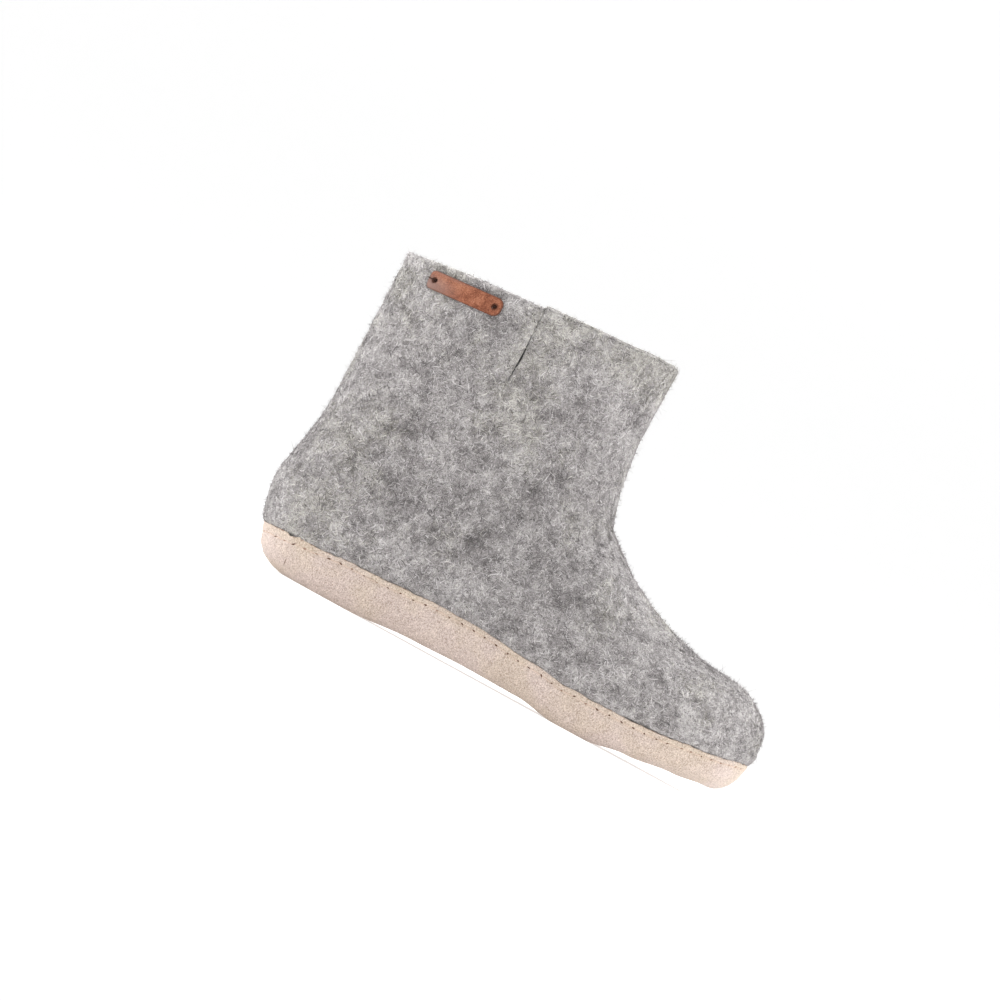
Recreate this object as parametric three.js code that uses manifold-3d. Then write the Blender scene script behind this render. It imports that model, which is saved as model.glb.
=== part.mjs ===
// A right-foot ankle boot of thick moulded wool felt on a stitched suede cup sole.
// Millimetres, +X towards the toe, +Y towards the inner (big toe) side, +Z up.
// While it is modelled, x = 0 is the back of the heel and z = 0 is the floor.
// At the end the whole boot is moved so that its origin is the middle of its footprint.
import * as THREE from "three";
import { mergeVertices } from "three/addons/utils/BufferGeometryUtils.js";
import Module from "manifold-3d";

const wasm = await Module();
wasm.setup();

// Lengths along the foot
const LENGTH = 264; // back of the heel to the tip of the toe, over the felt
const SHAFT_DEPTH = 137.8; // front to back of the shaft
const HEEL_BULGE = 6.3; // how far the heel stands out behind the shaft

// Widths
const BALL_WIDTH = 99;
const HEEL_WIDTH = 73;
const SHAFT_WIDTH = 84; // across the collar

// Heights above the floor
const TOE_TIP_HEIGHT = 33; // where the toe reaches furthest forward
const TOE_HEIGHT = 57.5; // top of the toe box
const INSTEP_HEIGHT = 93; // where the instep turns up into the shaft
const HEEL_BULGE_HEIGHT = 42; // where the heel reaches furthest back
const COLLAR_HEIGHT = 175.2; // top of the collar, at its front
const COLLAR_DROP = 11.2; // how much lower the collar is at its back

// Walls and clearances
const FELT = 4; // wall of the felt
const SUEDE = 1.7; // wall of the sole's turned-up rim
const GAP = 0.3; // between pieces that touch
const INSOLE = 3;
const SOLE_FLOOR = 8.6; // thickness of the sole under the felt
const LASTING_MARGIN = 12; // width of the felt's edge that is turned in under the foot

// The underside of the sole
const ARCH_RISE = 3.1;
const TOE_SPRING = 9.5; // height of the tread right under the toe tip
const HEEL_ROUNDING = 20; // from the sole's rim in to its flat tread, at the back
const SIDE_ROUNDING = 9;
const TOE_ROUNDING = 10;

// Height of the rim of the sole
const RIM_HEEL = 18.2;
const RIM_ARCH = 22.8;
const RIM_BALL = 18.4;
const RIM_TOE = 25.6;

// The slit in the outer side of the collar
const SLIT_LENGTH = 38;
const SLIT_WIDTH = 1.2;
const SLIT_RISE = 1.6; // how much the collar stands higher in front of it than behind it

// The leather tag beside it
const TAG_LENGTH = 39.2;
const TAG_WIDTH = 9.2;
const TAG_THICKNESS = 1.8;
const TAG_FROM_BACK = 33.8; // round the shaft, from the middle of its back
const TAG_DROP = 8.7; // from the collar to the middle of the tag
const TAG_CORNER = 2.6;
const TAG_HOLE = 2.3; // diameter
const TAG_HOLE_FROM_END = 3.6;

// Steps of the meshes
const RING_COUNT = 46; // from the toe tip to the collar
const CORNER_COUNT = 32; // corners of a ring, a multiple of 4
const OUTLINE_STEP_COUNT = 34; // steps of the sole's outline, toe to heel, on each side
const OUTLINE_SAMPLE_COUNT = 90; // places that it is measured at, on each side
const TAG_STEP_COUNT = 10; // along the tag, between its rounded ends

const SHAFT_FRONT = HEEL_BULGE + SHAFT_DEPTH;
const VAMP_LENGTH = LENGTH - SHAFT_FRONT;
const COLLAR_BACK_HEIGHT = COLLAR_HEIGHT - COLLAR_DROP;

// Heights along the foot, as [share of LENGTH, height]: the tread, and the rim.
const TREAD = [
  [0, 0],
  [0.09, 0],
  [0.225, 0],
  [0.36, 0.78 * ARCH_RISE],
  [0.46, ARCH_RISE],
  [0.57, 0.88 * ARCH_RISE],
  [0.65, 0],
  [0.71, 0],
  [0.79, 0.33 * TOE_SPRING],
  [0.88, 0.62 * TOE_SPRING],
  [0.94, 0.82 * TOE_SPRING],
  [1, TOE_SPRING],
];
const RIM = [
  [0, RIM_HEEL],
  [0.09, RIM_HEEL + 0.12 * (RIM_ARCH - RIM_HEEL)],
  [0.225, RIM_HEEL + 0.65 * (RIM_ARCH - RIM_HEEL)],
  [0.36, RIM_ARCH],
  [0.45, RIM_ARCH],
  [0.56, RIM_BALL + 0.5 * (RIM_ARCH - RIM_BALL)],
  [0.64, RIM_BALL],
  [0.73, RIM_BALL],
  [0.81, RIM_BALL + 0.14 * (RIM_TOE - RIM_BALL)],
  [0.9, RIM_BALL + 0.48 * (RIM_TOE - RIM_BALL)],
  [1, RIM_TOE],
];

// Sections of the felt's outer surface. Each lies in a plane across the boot, from a point on
// its top or front line to a point on its sole or back line.
//   top    x of the first point: share of the vamp's length ahead of the shaft's front
//   rise   its height: 0 toe tip, 1 toe top, 2 instep, 3 collar
//   base   x of the second point: share of LENGTH, or of HEEL_BULGE on the leg
//   lift   its height: 0 the sole, 1 toe tip or heel bulge, 2 collar
//   half   greatest half width: share of half the ball, heel or shaft width
//   wide   where that is: share of the way from base to top
//   crown, corner   roundness above and below it: 2 is an ellipse, more is squarer
//   swing, ridge    how far base and top lie to the inner side: share of the width
const COLUMNS = ["top", "rise", "base", "lift", "half", "wide", "crown", "corner", "swing", "ridge"];
const rows = (table) =>
  table.map((values) => Object.fromEntries(COLUMNS.map((name, k) => [name, values[k]])));
const FOREFOOT = rows([
  [   1.0,     0,    1.0,     1,     0,   0.4,  2.3,  2.3,   0.08,  0.08],
  [ 0.996,  0.26,  0.998,  0.62, 0.185,   0.4,  2.3,  2.4,   0.08,  0.08],
  [ 0.984,  0.44,  0.992,  0.36,  0.32,   0.4,  2.3,  2.5,   0.08,  0.08],
  [ 0.956,  0.59,   0.98,  0.19, 0.445,   0.4,  2.3,  2.7,   0.08,  0.08],
  [ 0.916, 0.755,  0.962,  0.08, 0.585,  0.39,  2.3,  2.9,  0.077, 0.078],
  [ 0.858, 0.915,  0.936,  0.02, 0.715,  0.38,  2.3,  3.1,   0.07, 0.073],
  [ 0.783,  1.01,  0.902,     0, 0.825,  0.37,  2.3,  3.3,  0.059, 0.068],
  [ 0.683, 1.035,  0.856,     0, 0.918, 0.355, 2.25,  3.4,  0.044, 0.062],
  [  0.55,  1.13,  0.795,     0, 0.982, 0.335, 2.15,  3.5,  0.026, 0.055],
  [   0.4, 1.295,  0.727,     0,   1.0, 0.315, 2.05,  3.6,  0.008, 0.047],
  [ 0.283, 1.495,  0.674,     0, 0.985,  0.31, 1.98,  3.7, -0.002, 0.039],
  [ 0.183, 1.715,  0.625,     0,  0.95, 0.315, 1.95,  3.8,  -0.01, 0.031],
]);
const HEEL = rows([
  [ 0.112, 1.893,  0.565,     0,  1.21,  0.34, 1.95,  4.0,  -0.02,  0.03],
  [0.0905, 1.957,   0.48,     0, 1.115, 0.375, 1.98,  4.3, -0.029, 0.022],
  [ 0.077, 2.004,   0.39,     0, 1.055, 0.405,  2.0,  4.6, -0.026, 0.015],
  [ 0.067, 2.036,  0.292,     0, 1.025,  0.43, 2.03,  4.8, -0.015,  0.01],
  [ 0.058, 2.073,  0.197,     0, 1.015, 0.445, 2.06,  4.3, -0.005, 0.006],
  [  0.05, 2.107,  0.115,     0, 1.015,  0.45, 2.08,  3.5,      0, 0.003],
  [ 0.043, 2.141,  0.057, 0.065,  1.01,  0.45,  2.1,  2.8,      0,     0],
  [ 0.037, 2.173, 0.0265,  0.26,  1.01,  0.45,  2.1,  2.4,      0,     0],
  [ 0.032, 2.202, 0.0115,   0.5, 1.012,  0.45,  2.1, 2.25,      0,     0],
  [0.0275,  2.23,  0.003,  0.76, 1.018, 0.452,  2.1,  2.2,      0,     0],
]);
const LEG = rows([
  [0.0245, 2.258,      0,     1,  0.89, 0.455,  2.1, 2.18,      0,     0],
  [ 0.021, 2.292,   0.25, 1.082, 0.897,  0.46,  2.1, 2.17,      0,     0],
  [0.0155, 2.342,   0.59,  1.18, 0.908, 0.465,  2.1, 2.17,      0,     0],
  [0.0075, 2.424,   0.88, 1.295, 0.924,  0.47, 2.12, 2.17,      0,     0],
  [0.0005,  2.53,    1.0, 1.426, 0.943,  0.48, 2.14, 2.17,      0,     0],
  [-0.001,  2.65,    1.0, 1.574, 0.962,  0.49, 2.16, 2.18,      0,     0],
  [     0,  2.77,   0.92, 1.721,  0.98,   0.5, 2.18, 2.19,      0,     0],
  [     0, 2.885,   0.84, 1.861, 0.992,   0.5,  2.2,  2.2,      0,     0],
  [     0,     3,   0.78,     2,   1.0,   0.5,  2.2,  2.2,      0,     0],
]);

// Shares across the side of the sole, from its rim down to its tread: [height left, way in].
const SIDE_PROFILE = [
  [1, 0],
  [0.78, 0.07],
  [0.5, 0.17],
  [0.27, 0.36],
  [0.1, 0.65],
  [0, 1],
];

// Value at a position in a list of named heights, straight between them.
function ladder(heights, at) {
  const i = Math.min(Math.floor(at), heights.length - 2);
  return THREE.MathUtils.lerp(heights[i], heights[i + 1], at - i);
}

// Smooth curve through four neighbouring values, at t between the middle two.
function smooth(a, b, c, d, t) {
  return b + 0.5 * t * (c - a + t * (2 * a - 5 * b + 4 * c - d + t * (3 * (b - c) + d - a)));
}

// Smooth height over x from a table of [share of LENGTH, height], level beyond its ends and
// exactly level between two rows of one height.
function heightAt(table, x) {
  const share = THREE.MathUtils.clamp(x / LENGTH, 0, 1);
  const i = Math.max(0, table.findIndex((row) => row[0] >= share) - 1);
  const [from, low] = table[i];
  const [to, high] = table[i + 1];
  const t = (share - from) / (to - from);
  return THREE.MathUtils.lerp(low, high, t * t * (3 - 2 * t));
}
const treadAt = (x) => heightAt(TREAD, x);
const rimAt = (x) => heightAt(RIM, x);
const lastBottomAt = (x) => treadAt(x) + SOLE_FLOOR - SUEDE; // underside of the felt's own form

// A table's row in millimetres.
function section(row, width, onLeg, tipHeight) {
  const baseX = row.base * (onLeg ? HEEL_BULGE : LENGTH);
  const baseHeights = [lastBottomAt(baseX), tipHeight, COLLAR_BACK_HEIGHT];
  return {
    topX: SHAFT_FRONT + row.top * VAMP_LENGTH,
    topZ: ladder([TOE_TIP_HEIGHT, TOE_HEIGHT, INSTEP_HEIGHT, COLLAR_HEIGHT], row.rise),
    baseX,
    baseZ: ladder(baseHeights, row.lift),
    half: (row.half * width) / 2,
    wide: row.wide,
    crown: row.crown,
    corner: row.corner,
    baseY: row.swing * width,
    topY: row.ridge * width,
  };
}
const SECTIONS = [
  ...FOREFOOT.map((row) => section(row, BALL_WIDTH, false, TOE_TIP_HEIGHT)),
  ...HEEL.map((row) => section(row, HEEL_WIDTH, false, HEEL_BULGE_HEIGHT)),
  ...LEG.map((row) => section(row, SHAFT_WIDTH, true, HEEL_BULGE_HEIGHT)),
];
const LAST_SECTION = SECTIONS.length - 1;

// The section at any place u along the boot, from 0 at the toe tip to LAST_SECTION at the collar.
function sectionAt(u) {
  const i = Math.min(Math.floor(u), LAST_SECTION - 1);
  const four = [i - 1, i, i + 1, i + 2].map((n) => SECTIONS[THREE.MathUtils.clamp(n, 0, LAST_SECTION)]);
  const made = {};
  for (const key of Object.keys(four[0])) made[key] = smooth(...four.map((s) => s[key]), u - i);
  return made;
}

// A point of a section: q runs from its base to its top, side from -1 outer to 1 inner.
function place(s, q, side) {
  const { lerp } = THREE.MathUtils;
  return new THREE.Vector3(
    lerp(s.baseX, s.topX, q),
    lerp(s.baseY, s.topY, q) + side * s.half,
    lerp(s.baseZ, s.topZ, q),
  );
}

// The felt's outer surface at u, and at an angle round the section from its top over its inner side.
function surface(u, angle) {
  const s = sectionAt(u);
  const up = Math.cos(angle);
  const out = Math.sin(angle);
  const power = up > 0 ? s.crown : s.corner;
  const reach = (Math.abs(up) ** power + Math.abs(out) ** power) ** (-1 / power);
  return place(s, s.wide + (up > 0 ? 1 - s.wide : s.wide) * reach * up, reach * out);
}

// The outward direction of that surface.
function normal(u, angle) {
  const du = 0.02;
  const da = 0.02;
  const u0 = Math.max(u - du, 0.01);
  const along = surface(Math.min(u0 + 2 * du, LAST_SECTION), angle).sub(surface(u0, angle));
  const round = surface(Math.max(u, 0.01), angle + da).sub(surface(Math.max(u, 0.01), angle - da));
  return round.cross(along).normalize();
}

// A closed solid from rings of as many corners each. The first and the last ring close on themselves.
function loft(rings) {
  const count = rings[0].length;
  const index = [];
  for (let r = 0; r + 1 < rings.length; r++)
    for (let k = 0; k < count; k++) {
      const a = r * count + k;
      const b = r * count + ((k + 1) % count);
      index.push(a, b, b + count, a, b + count, a + count);
    }
  return solidOf(rings.flat(), index);
}

function solidOf(points, index) {
  const loose = new THREE.BufferGeometry().setFromPoints(points).setIndex(index);
  return solidOfGeometry(loose);
}

function solidOfGeometry(geometry) {
  const bare = new THREE.BufferGeometry()
    .setAttribute("position", geometry.getAttribute("position"))
    .setIndex(geometry.getIndex());
  const merged = mergeVertices(bare, 1e-3);
  const from = merged.index.array;
  const kept = [];
  for (let k = 0; k < from.length; k += 3) {
    const [a, b, c] = from.slice(k, k + 3);
    if (a !== b && b !== c && c !== a) kept.push(a, b, c);
  }
  const mesh = (triangles) =>
    new wasm.Mesh({
      numProp: 3,
      vertProperties: new Float32Array(merged.attributes.position.array),
      triVerts: new Uint32Array(triangles),
    });
  const made = new wasm.Manifold(mesh(kept));
  return made.volume() > 0 ? made : new wasm.Manifold(mesh(kept.reverse()));
}

// How far the collar stands above its plane: highest right in front of the slit, a low hump on
// the inner side, and nothing behind.
function collarRise(angle) {
  const outer = angle > Math.PI;
  const fromFront = (outer ? 2 * Math.PI - angle : angle) / (Math.PI / 2);
  if (fromFront > 1) return 0;
  return SLIT_RISE * fromFront * (outer ? 2 - fromFront : 2 * (1 - fromFront));
}

// Angles of a ring's corners, with two in place of one at the slit.
const ANGLES = Array.from({ length: CORNER_COUNT }, (_, k) => k).flatMap((k) => {
  const angle = (k / CORNER_COUNT) * 2 * Math.PI;
  return k === 0.75 * CORNER_COUNT ? [angle - 1e-3, angle + 1e-3] : angle;
});

// The form of the boot, with its surface moved in by depth, and its top raised by above.
function form(depth, above) {
  const rings = [];
  for (let n = 0; n <= RING_COUNT; n++) {
    const u = (n / RING_COUNT) * LAST_SECTION;
    rings.push(
      ANGLES.map((angle) => {
        // At the pole of the toe tip every corner moves alike.
        const out = n === 0 ? new THREE.Vector3(1, 0, 0) : normal(u, angle);
        const p = surface(u, angle).addScaledVector(out, -depth);
        if (n === RING_COUNT) p.z += collarRise(angle);
        return p;
      }),
    );
  }
  const collar = rings.at(-1);
  const middle = collar
    .reduce((sum, p) => sum.add(p), new THREE.Vector3())
    .divideScalar(collar.length);
  if (above > 0) {
    const up = new THREE.Vector3(0, 0, above);
    rings.push(collar.map((p) => p.clone().add(up)));
    middle.add(up);
  }
  rings.push(collar.map(() => middle));
  return loft(rings);
}

// Half width of a section at q.
function halfWidth(s, q) {
  const low = q < s.wide;
  const away = low ? (s.wide - q) / s.wide : (q - s.wide) / (1 - s.wide);
  const power = low ? s.corner : s.crown;
  return (1 - Math.min(away, 1) ** power) ** (1 / power);
}

// Where the rim of the sole crosses the section at u: q along it, below 0 where it misses.
function rimCrossing(u) {
  const s = sectionAt(u);
  let q = 0;
  for (let n = 0; n < 12; n++)
    q = (rimAt(THREE.MathUtils.lerp(s.baseX, s.topX, q)) - s.baseZ) / (s.topZ - s.baseZ);
  return q;
}

// The place between two from which a test that fails at the first holds.
function firstWhere(test, fails, holds) {
  for (let n = 0; n < 40; n++) {
    const mid = (fails + holds) / 2;
    if (test(mid)) holds = mid;
    else fails = mid;
  }
  return holds;
}

// The outline of the sole at its rim, on the felt's outer surface: evenly spaced corners from the toe
// along the outer side to the heel and back along the inner side, each with its way out and its
// place on the foot's middle line.
function outline() {
  const ball = FOREFOOT.length - 3;
  const crossed = (u) => rimCrossing(u) > 0;
  const toe = firstWhere(crossed, 0, ball);
  const heel = firstWhere(crossed, FOREFOOT.length + HEEL.length, ball);
  const half = (side) => {
    const points = [];
    for (let n = 0; n <= OUTLINE_SAMPLE_COUNT; n++) {
      const share = (1 - Math.cos((n / OUTLINE_SAMPLE_COUNT) * Math.PI)) / 2;
      const s = sectionAt(THREE.MathUtils.lerp(toe, heel, share));
      const end = n === 0 || n === OUTLINE_SAMPLE_COUNT;
      const q = end ? 0 : Math.max(rimCrossing(THREE.MathUtils.lerp(toe, heel, share)), 0);
      points.push(place(s, q, end ? 0 : side * halfWidth(s, q)));
    }
    return new THREE.CatmullRomCurve3(points).getSpacedPoints(OUTLINE_STEP_COUNT);
  };
  const outer = half(-1);
  const inner = half(1);
  const ring = [...outer, ...inner.slice(1, -1).reverse()];
  const count = ring.length;
  const rounded = HEEL_WIDTH / 2;
  return ring.map((p, k) => {
    const along = ring[(k + 1) % count].clone().sub(ring[(k + count - 1) % count]);
    const across = ring[(count - k) % count];
    const x = THREE.MathUtils.clamp((p.x + across.x) / 2, rounded, LENGTH - rounded);
    return {
      x: p.x,
      y: p.y,
      out: new THREE.Vector3(-along.y, along.x, 0).normalize(),
      middle: new THREE.Vector3(x, middleY(x), 0),
    };
  });
}

// The foot's middle line, seen from above.
function middleY(x) {
  let u = 1;
  while (u < LAST_SECTION && sectionAt(u).baseX > x) u += 0.1;
  return sectionAt(u).baseY;
}

const OUTLINE = outline();

// A ring inside the outline: moved in by a distance, then a share of the way to the middle line,
// at the height that a function gives for each x.
function ring(inset, share, heightOf) {
  return OUTLINE.map((at, k) => {
    const distance = typeof inset === "function" ? inset(at.x) : inset;
    const p = new THREE.Vector3(at.x, at.y, 0).addScaledVector(OUTLINE[k].out, -distance);
    p.lerp(at.middle, share);
    p.z = heightOf(p.x);
    return p;
  });
}

// A block over part of the sole's plan, between two heights.
function block(inset, lowAt, highAt) {
  return loft([
    ring(inset, 1, lowAt),
    ring(inset, 0.5, lowAt),
    ring(inset, 0, lowAt),
    ring(inset, 0, highAt),
    ring(inset, 0.5, highAt),
    ring(inset, 1, highAt),
  ]);
}

// How far in the sole's side reaches its tread.
function rounding(x) {
  const { smoothstep, lerp } = THREE.MathUtils;
  const heel = 1 - smoothstep(x, 0, 0.2 * LENGTH);
  const toe = smoothstep(x, 0.8 * LENGTH, LENGTH);
  return lerp(lerp(SIDE_ROUNDING, HEEL_ROUNDING, heel), TOE_ROUNDING, toe);
}

// The sole without its hollow.
function soleBody() {
  const side = SIDE_PROFILE.map(([left, inward]) =>
    OUTLINE.map((at) => {
      const p = new THREE.Vector3(at.x, at.y, 0);
      p.addScaledVector(at.out, -inward * rounding(at.x));
      p.z = THREE.MathUtils.lerp(treadAt(p.x), rimAt(at.x), left);
      return p;
    }),
  );
  return loft([
    ring(rounding, 1, treadAt),
    ring(rounding, 0.5, treadAt),
    ...side.toReversed(),
    ring(0, 0.5, rimAt),
    ring(0, 1, rimAt),
  ]);
}

// The felt, turned in under the foot and left open there for the sole's cushion.
const OPENING_INSET = FELT + LASTING_MARGIN;
const feltFloorAt = (x) => lastBottomAt(x) + FELT;
const hollowAt = (x) => feltFloorAt(x) + 2 * FELT;
function upper() {
  const shell = form(0, 0).subtract(form(FELT, 2 * FELT));
  const low = () => -GAP;
  const high = (x) => rimAt(x) + GAP;
  const underRim = loft([
    ring(-HEEL_ROUNDING, 1, low),
    ring(-HEEL_ROUNDING, 0, low),
    ring(-HEEL_ROUNDING, 0, high),
    ring(0, 0, high),
    ring(0, 0.5, high),
    ring(0, 1, high),
  ]);
  const inSole = underRim.subtract(form(SUEDE + GAP, 0));
  const opening = block(OPENING_INSET, treadAt, hollowAt);
  return shell.subtract(inSole).subtract(opening).subtract(slit());
}

// The cut down the outer side from the collar: widest at half its length, pointed below.
function slit() {
  const s = sectionAt(LAST_SECTION);
  const top = place(s, s.wide, -1);
  const shape = new THREE.Shape([
    new THREE.Vector2(-0.3 * SLIT_WIDTH, FELT),
    new THREE.Vector2(-0.35 * SLIT_WIDTH, 0),
    new THREE.Vector2(-0.5 * SLIT_WIDTH, -0.55 * SLIT_LENGTH),
    new THREE.Vector2(0, -SLIT_LENGTH),
    new THREE.Vector2(0.5 * SLIT_WIDTH, -0.55 * SLIT_LENGTH),
    new THREE.Vector2(0.35 * SLIT_WIDTH, 0),
    new THREE.Vector2(0.3 * SLIT_WIDTH, FELT),
  ]);
  const cut = new THREE.ExtrudeGeometry(shape, { depth: 3 * FELT, bevelEnabled: false });
  cut.rotateX(Math.PI / 2);
  cut.translate(top.x, top.y + 2 * FELT, top.z);
  return solidOfGeometry(cut);
}

// The suede cup, with a cushion that fills the opening under the felt.
function sole() {
  const cup = soleBody().subtract(form(SUEDE, 0));
  const inside = (x) => treadAt(x) + SOLE_FLOOR / 2;
  const cushion = block(OPENING_INSET + GAP, inside, hollowAt).subtract(form(FELT, 0));
  return cup.add(cushion);
}

function insole() {
  const topAt = (x) => feltFloorAt(x) + GAP + INSOLE;
  return form(FELT + GAP, 0).intersect(block(0, treadAt, topAt));
}

// The angle at a length round the outer side of the collar, from the middle of its back.
function angleAtLength(length) {
  const step = 0.005;
  let angle = Math.PI;
  let gone = 0;
  let here = surface(LAST_SECTION, angle);
  while (gone < length) {
    angle += step;
    const next = surface(LAST_SECTION, angle);
    gone += next.distanceTo(here);
    here = next;
  }
  return angle;
}

// The place along the leg at a distance below the collar, at an angle.
function belowCollar(distance, angle) {
  const collar = surface(LAST_SECTION, angle);
  const near = (u) => surface(u, angle).distanceTo(collar) < distance;
  return firstWhere(near, LAST_SECTION - 4, LAST_SECTION);
}

// The leather tag: a strip with rounded corners, bent to the shaft, and a hole near each end.
function tag() {
  const at = (x, up, out) => {
    const angle = angleAtLength(TAG_FROM_BACK + x);
    const u = belowCollar(TAG_DROP - up, angle);
    return surface(u, angle).addScaledVector(normal(u, angle), GAP + out);
  };
  const corner = [0, 0.12, 0.35, 0.65, 1].map((share) => share * TAG_CORNER);
  const straight = TAG_LENGTH - 2 * TAG_CORNER;
  const between = Array.from({ length: TAG_STEP_COUNT - 1 }, (_, n) => (n + 1) / TAG_STEP_COUNT).map(
    (share) => TAG_CORNER + share * straight,
  );
  const columns = [...corner, ...between, ...corner.toReversed().map((x) => TAG_LENGTH - x)];
  const rings = columns.map((x) => {
    const past = Math.max(TAG_CORNER - x, x - TAG_LENGTH + TAG_CORNER, 0);
    const half = TAG_WIDTH / 2 - TAG_CORNER + Math.sqrt(TAG_CORNER ** 2 - past ** 2);
    const rows = [-half, 0, half];
    return [
      ...rows.map((up) => at(x, up, 0)),
      ...rows.toReversed().map((up) => at(x, up, TAG_THICKNESS)),
    ];
  });
  const end = (x) => rings[0].map(() => at(x, 0, TAG_THICKNESS / 2));
  let plate = loft([end(0), ...rings, end(TAG_LENGTH)]);
  for (const x of [TAG_HOLE_FROM_END, TAG_LENGTH - TAG_HOLE_FROM_END]) {
    const from = at(x, 0, -TAG_THICKNESS);
    const to = at(x, 0, 2 * TAG_THICKNESS);
    const hole = new THREE.CylinderGeometry(TAG_HOLE / 2, TAG_HOLE / 2, from.distanceTo(to), 12);
    const up = new THREE.Vector3(0, 1, 0);
    hole.applyQuaternion(new THREE.Quaternion().setFromUnitVectors(up, to.clone().sub(from).normalize()));
    hole.translate(...from.add(to).multiplyScalar(0.5));
    plate = plate.subtract(solidOfGeometry(hole));
  }
  return plate;
}

function meshOf(name, solid, look) {
  const made = solid.getMesh();
  const geometry = new THREE.BufferGeometry()
    .setAttribute("position", new THREE.BufferAttribute(made.vertProperties, 3))
    .setIndex(new THREE.BufferAttribute(made.triVerts, 1));
  geometry.computeVertexNormals();
  const mesh = new THREE.Mesh(geometry, new THREE.MeshStandardMaterial(look));
  mesh.name = name;
  return mesh;
}

const felt = { color: 0xa6a2a0, roughness: 1, metalness: 0 };
const suede = { color: 0xd9c4b5, roughness: 0.95, metalness: 0 };
const lining = { color: 0x9a9692, roughness: 1, metalness: 0 };
const leather = { color: 0xa9684f, roughness: 0.6, metalness: 0 };

const boot = new THREE.Group();
boot.add(
  meshOf("upper", upper(), felt),
  meshOf("sole", sole(), suede),
  meshOf("insole", insole(), lining),
  meshOf("tag", tag(), leather),
);
const box = new THREE.Box3().setFromObject(boot);
const middle = box.getCenter(new THREE.Vector3());
boot.position.set(-middle.x, -middle.y, -box.min.z);

export default boot;
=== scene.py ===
"""A right-foot ankle boot of grey wool felt on a stitched suede sole, on white, seen from its outer side."""
import math

import bpy
import numpy as np
from mathutils import Matrix, Vector


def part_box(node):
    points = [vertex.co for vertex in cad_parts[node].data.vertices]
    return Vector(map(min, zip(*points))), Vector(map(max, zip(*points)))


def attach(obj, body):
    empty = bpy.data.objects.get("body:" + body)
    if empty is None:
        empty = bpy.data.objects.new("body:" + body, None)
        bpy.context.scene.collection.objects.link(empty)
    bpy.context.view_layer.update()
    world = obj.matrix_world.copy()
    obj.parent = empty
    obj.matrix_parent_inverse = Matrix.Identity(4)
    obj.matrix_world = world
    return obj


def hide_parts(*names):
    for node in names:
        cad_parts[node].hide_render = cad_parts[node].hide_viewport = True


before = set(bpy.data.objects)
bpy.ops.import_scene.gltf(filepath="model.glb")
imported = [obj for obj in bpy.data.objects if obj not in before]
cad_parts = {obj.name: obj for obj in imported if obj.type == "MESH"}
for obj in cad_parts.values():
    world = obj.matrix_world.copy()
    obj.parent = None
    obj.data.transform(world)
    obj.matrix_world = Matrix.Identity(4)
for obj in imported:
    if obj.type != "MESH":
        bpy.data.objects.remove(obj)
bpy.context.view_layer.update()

# Sizes are in millimetres. While it is modelled, x = 0 is the back of the heel, +X points to the
# toe, +Y to the inner side of the foot, and z = 0 is the floor, as in the CAD source.
LENGTH = 264
SHAFT_DEPTH = 137.8
HEEL_BULGE = 6.3
BALL_WIDTH = 99
HEEL_WIDTH = 73
SHAFT_WIDTH = 84
TOE_TIP_HEIGHT = 33
TOE_HEIGHT = 57.5
INSTEP_HEIGHT = 93
HEEL_BULGE_HEIGHT = 42
COLLAR_HEIGHT = 175.2
COLLAR_DROP = 11.2
FELT = 4
SUEDE = 1.7
GAP = 0.3
INSOLE = 3
SOLE_FLOOR = 8.6
LASTING_MARGIN = 12
ARCH_RISE = 3.1
TOE_SPRING = 9.5
HEEL_ROUNDING = 20
SIDE_ROUNDING = 9
TOE_ROUNDING = 10
RIM_HEEL = 18.2
RIM_ARCH = 22.8
RIM_BALL = 18.4
RIM_TOE = 25.6
SLIT_LENGTH = 39
SLIT_RISE = 1.6
TAG_LENGTH = 39.2
TAG_WIDTH = 9.2
TAG_THICKNESS = 1.8
TAG_FROM_BACK = 33.8
TAG_DROP = 8.7
TAG_CORNER = 2.6
TAG_HOLE = 2.3
TAG_HOLE_FROM_END = 3.6
SHAFT_FRONT = HEEL_BULGE + SHAFT_DEPTH
VAMP_LENGTH = LENGTH - SHAFT_FRONT
COLLAR_BACK_HEIGHT = COLLAR_HEIGHT - COLLAR_DROP

# Where the frame's origin lies in those millimetres, and the frame's metres to one of them.
ORIGIN = np.array([132.063, 2.036, 0.0])
FELT_LOW, FELT_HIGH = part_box("upper")
METRES = (FELT_HIGH.x - FELT_LOW.x) / 263.87

# Heights along the foot, as [share of LENGTH, height]: the tread, and the rim of the sole.
TREAD = [
    [0, 0],
    [0.225, 0],
    [0.36, 0.78 * ARCH_RISE],
    [0.46, ARCH_RISE],
    [0.57, 0.88 * ARCH_RISE],
    [0.65, 0],
    [0.71, 0],
    [0.79, 0.33 * TOE_SPRING],
    [0.88, 0.62 * TOE_SPRING],
    [0.94, 0.82 * TOE_SPRING],
    [1, TOE_SPRING],
]
RIM = [
    [0, RIM_HEEL],
    [0.09, RIM_HEEL + 0.12 * (RIM_ARCH - RIM_HEEL)],
    [0.225, RIM_HEEL + 0.65 * (RIM_ARCH - RIM_HEEL)],
    [0.36, RIM_ARCH],
    [0.45, RIM_ARCH],
    [0.56, RIM_BALL + 0.5 * (RIM_ARCH - RIM_BALL)],
    [0.64, RIM_BALL],
    [0.73, RIM_BALL],
    [0.81, RIM_BALL + 0.14 * (RIM_TOE - RIM_BALL)],
    [0.9, RIM_BALL + 0.48 * (RIM_TOE - RIM_BALL)],
    [1, RIM_TOE],
]
# Across the side of the sole, from its rim down to its tread: [height left, way in].
SIDE_PROFILE = [[1, 0], [0.78, 0.07], [0.5, 0.17], [0.27, 0.36], [0.1, 0.65], [0, 1]]

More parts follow.
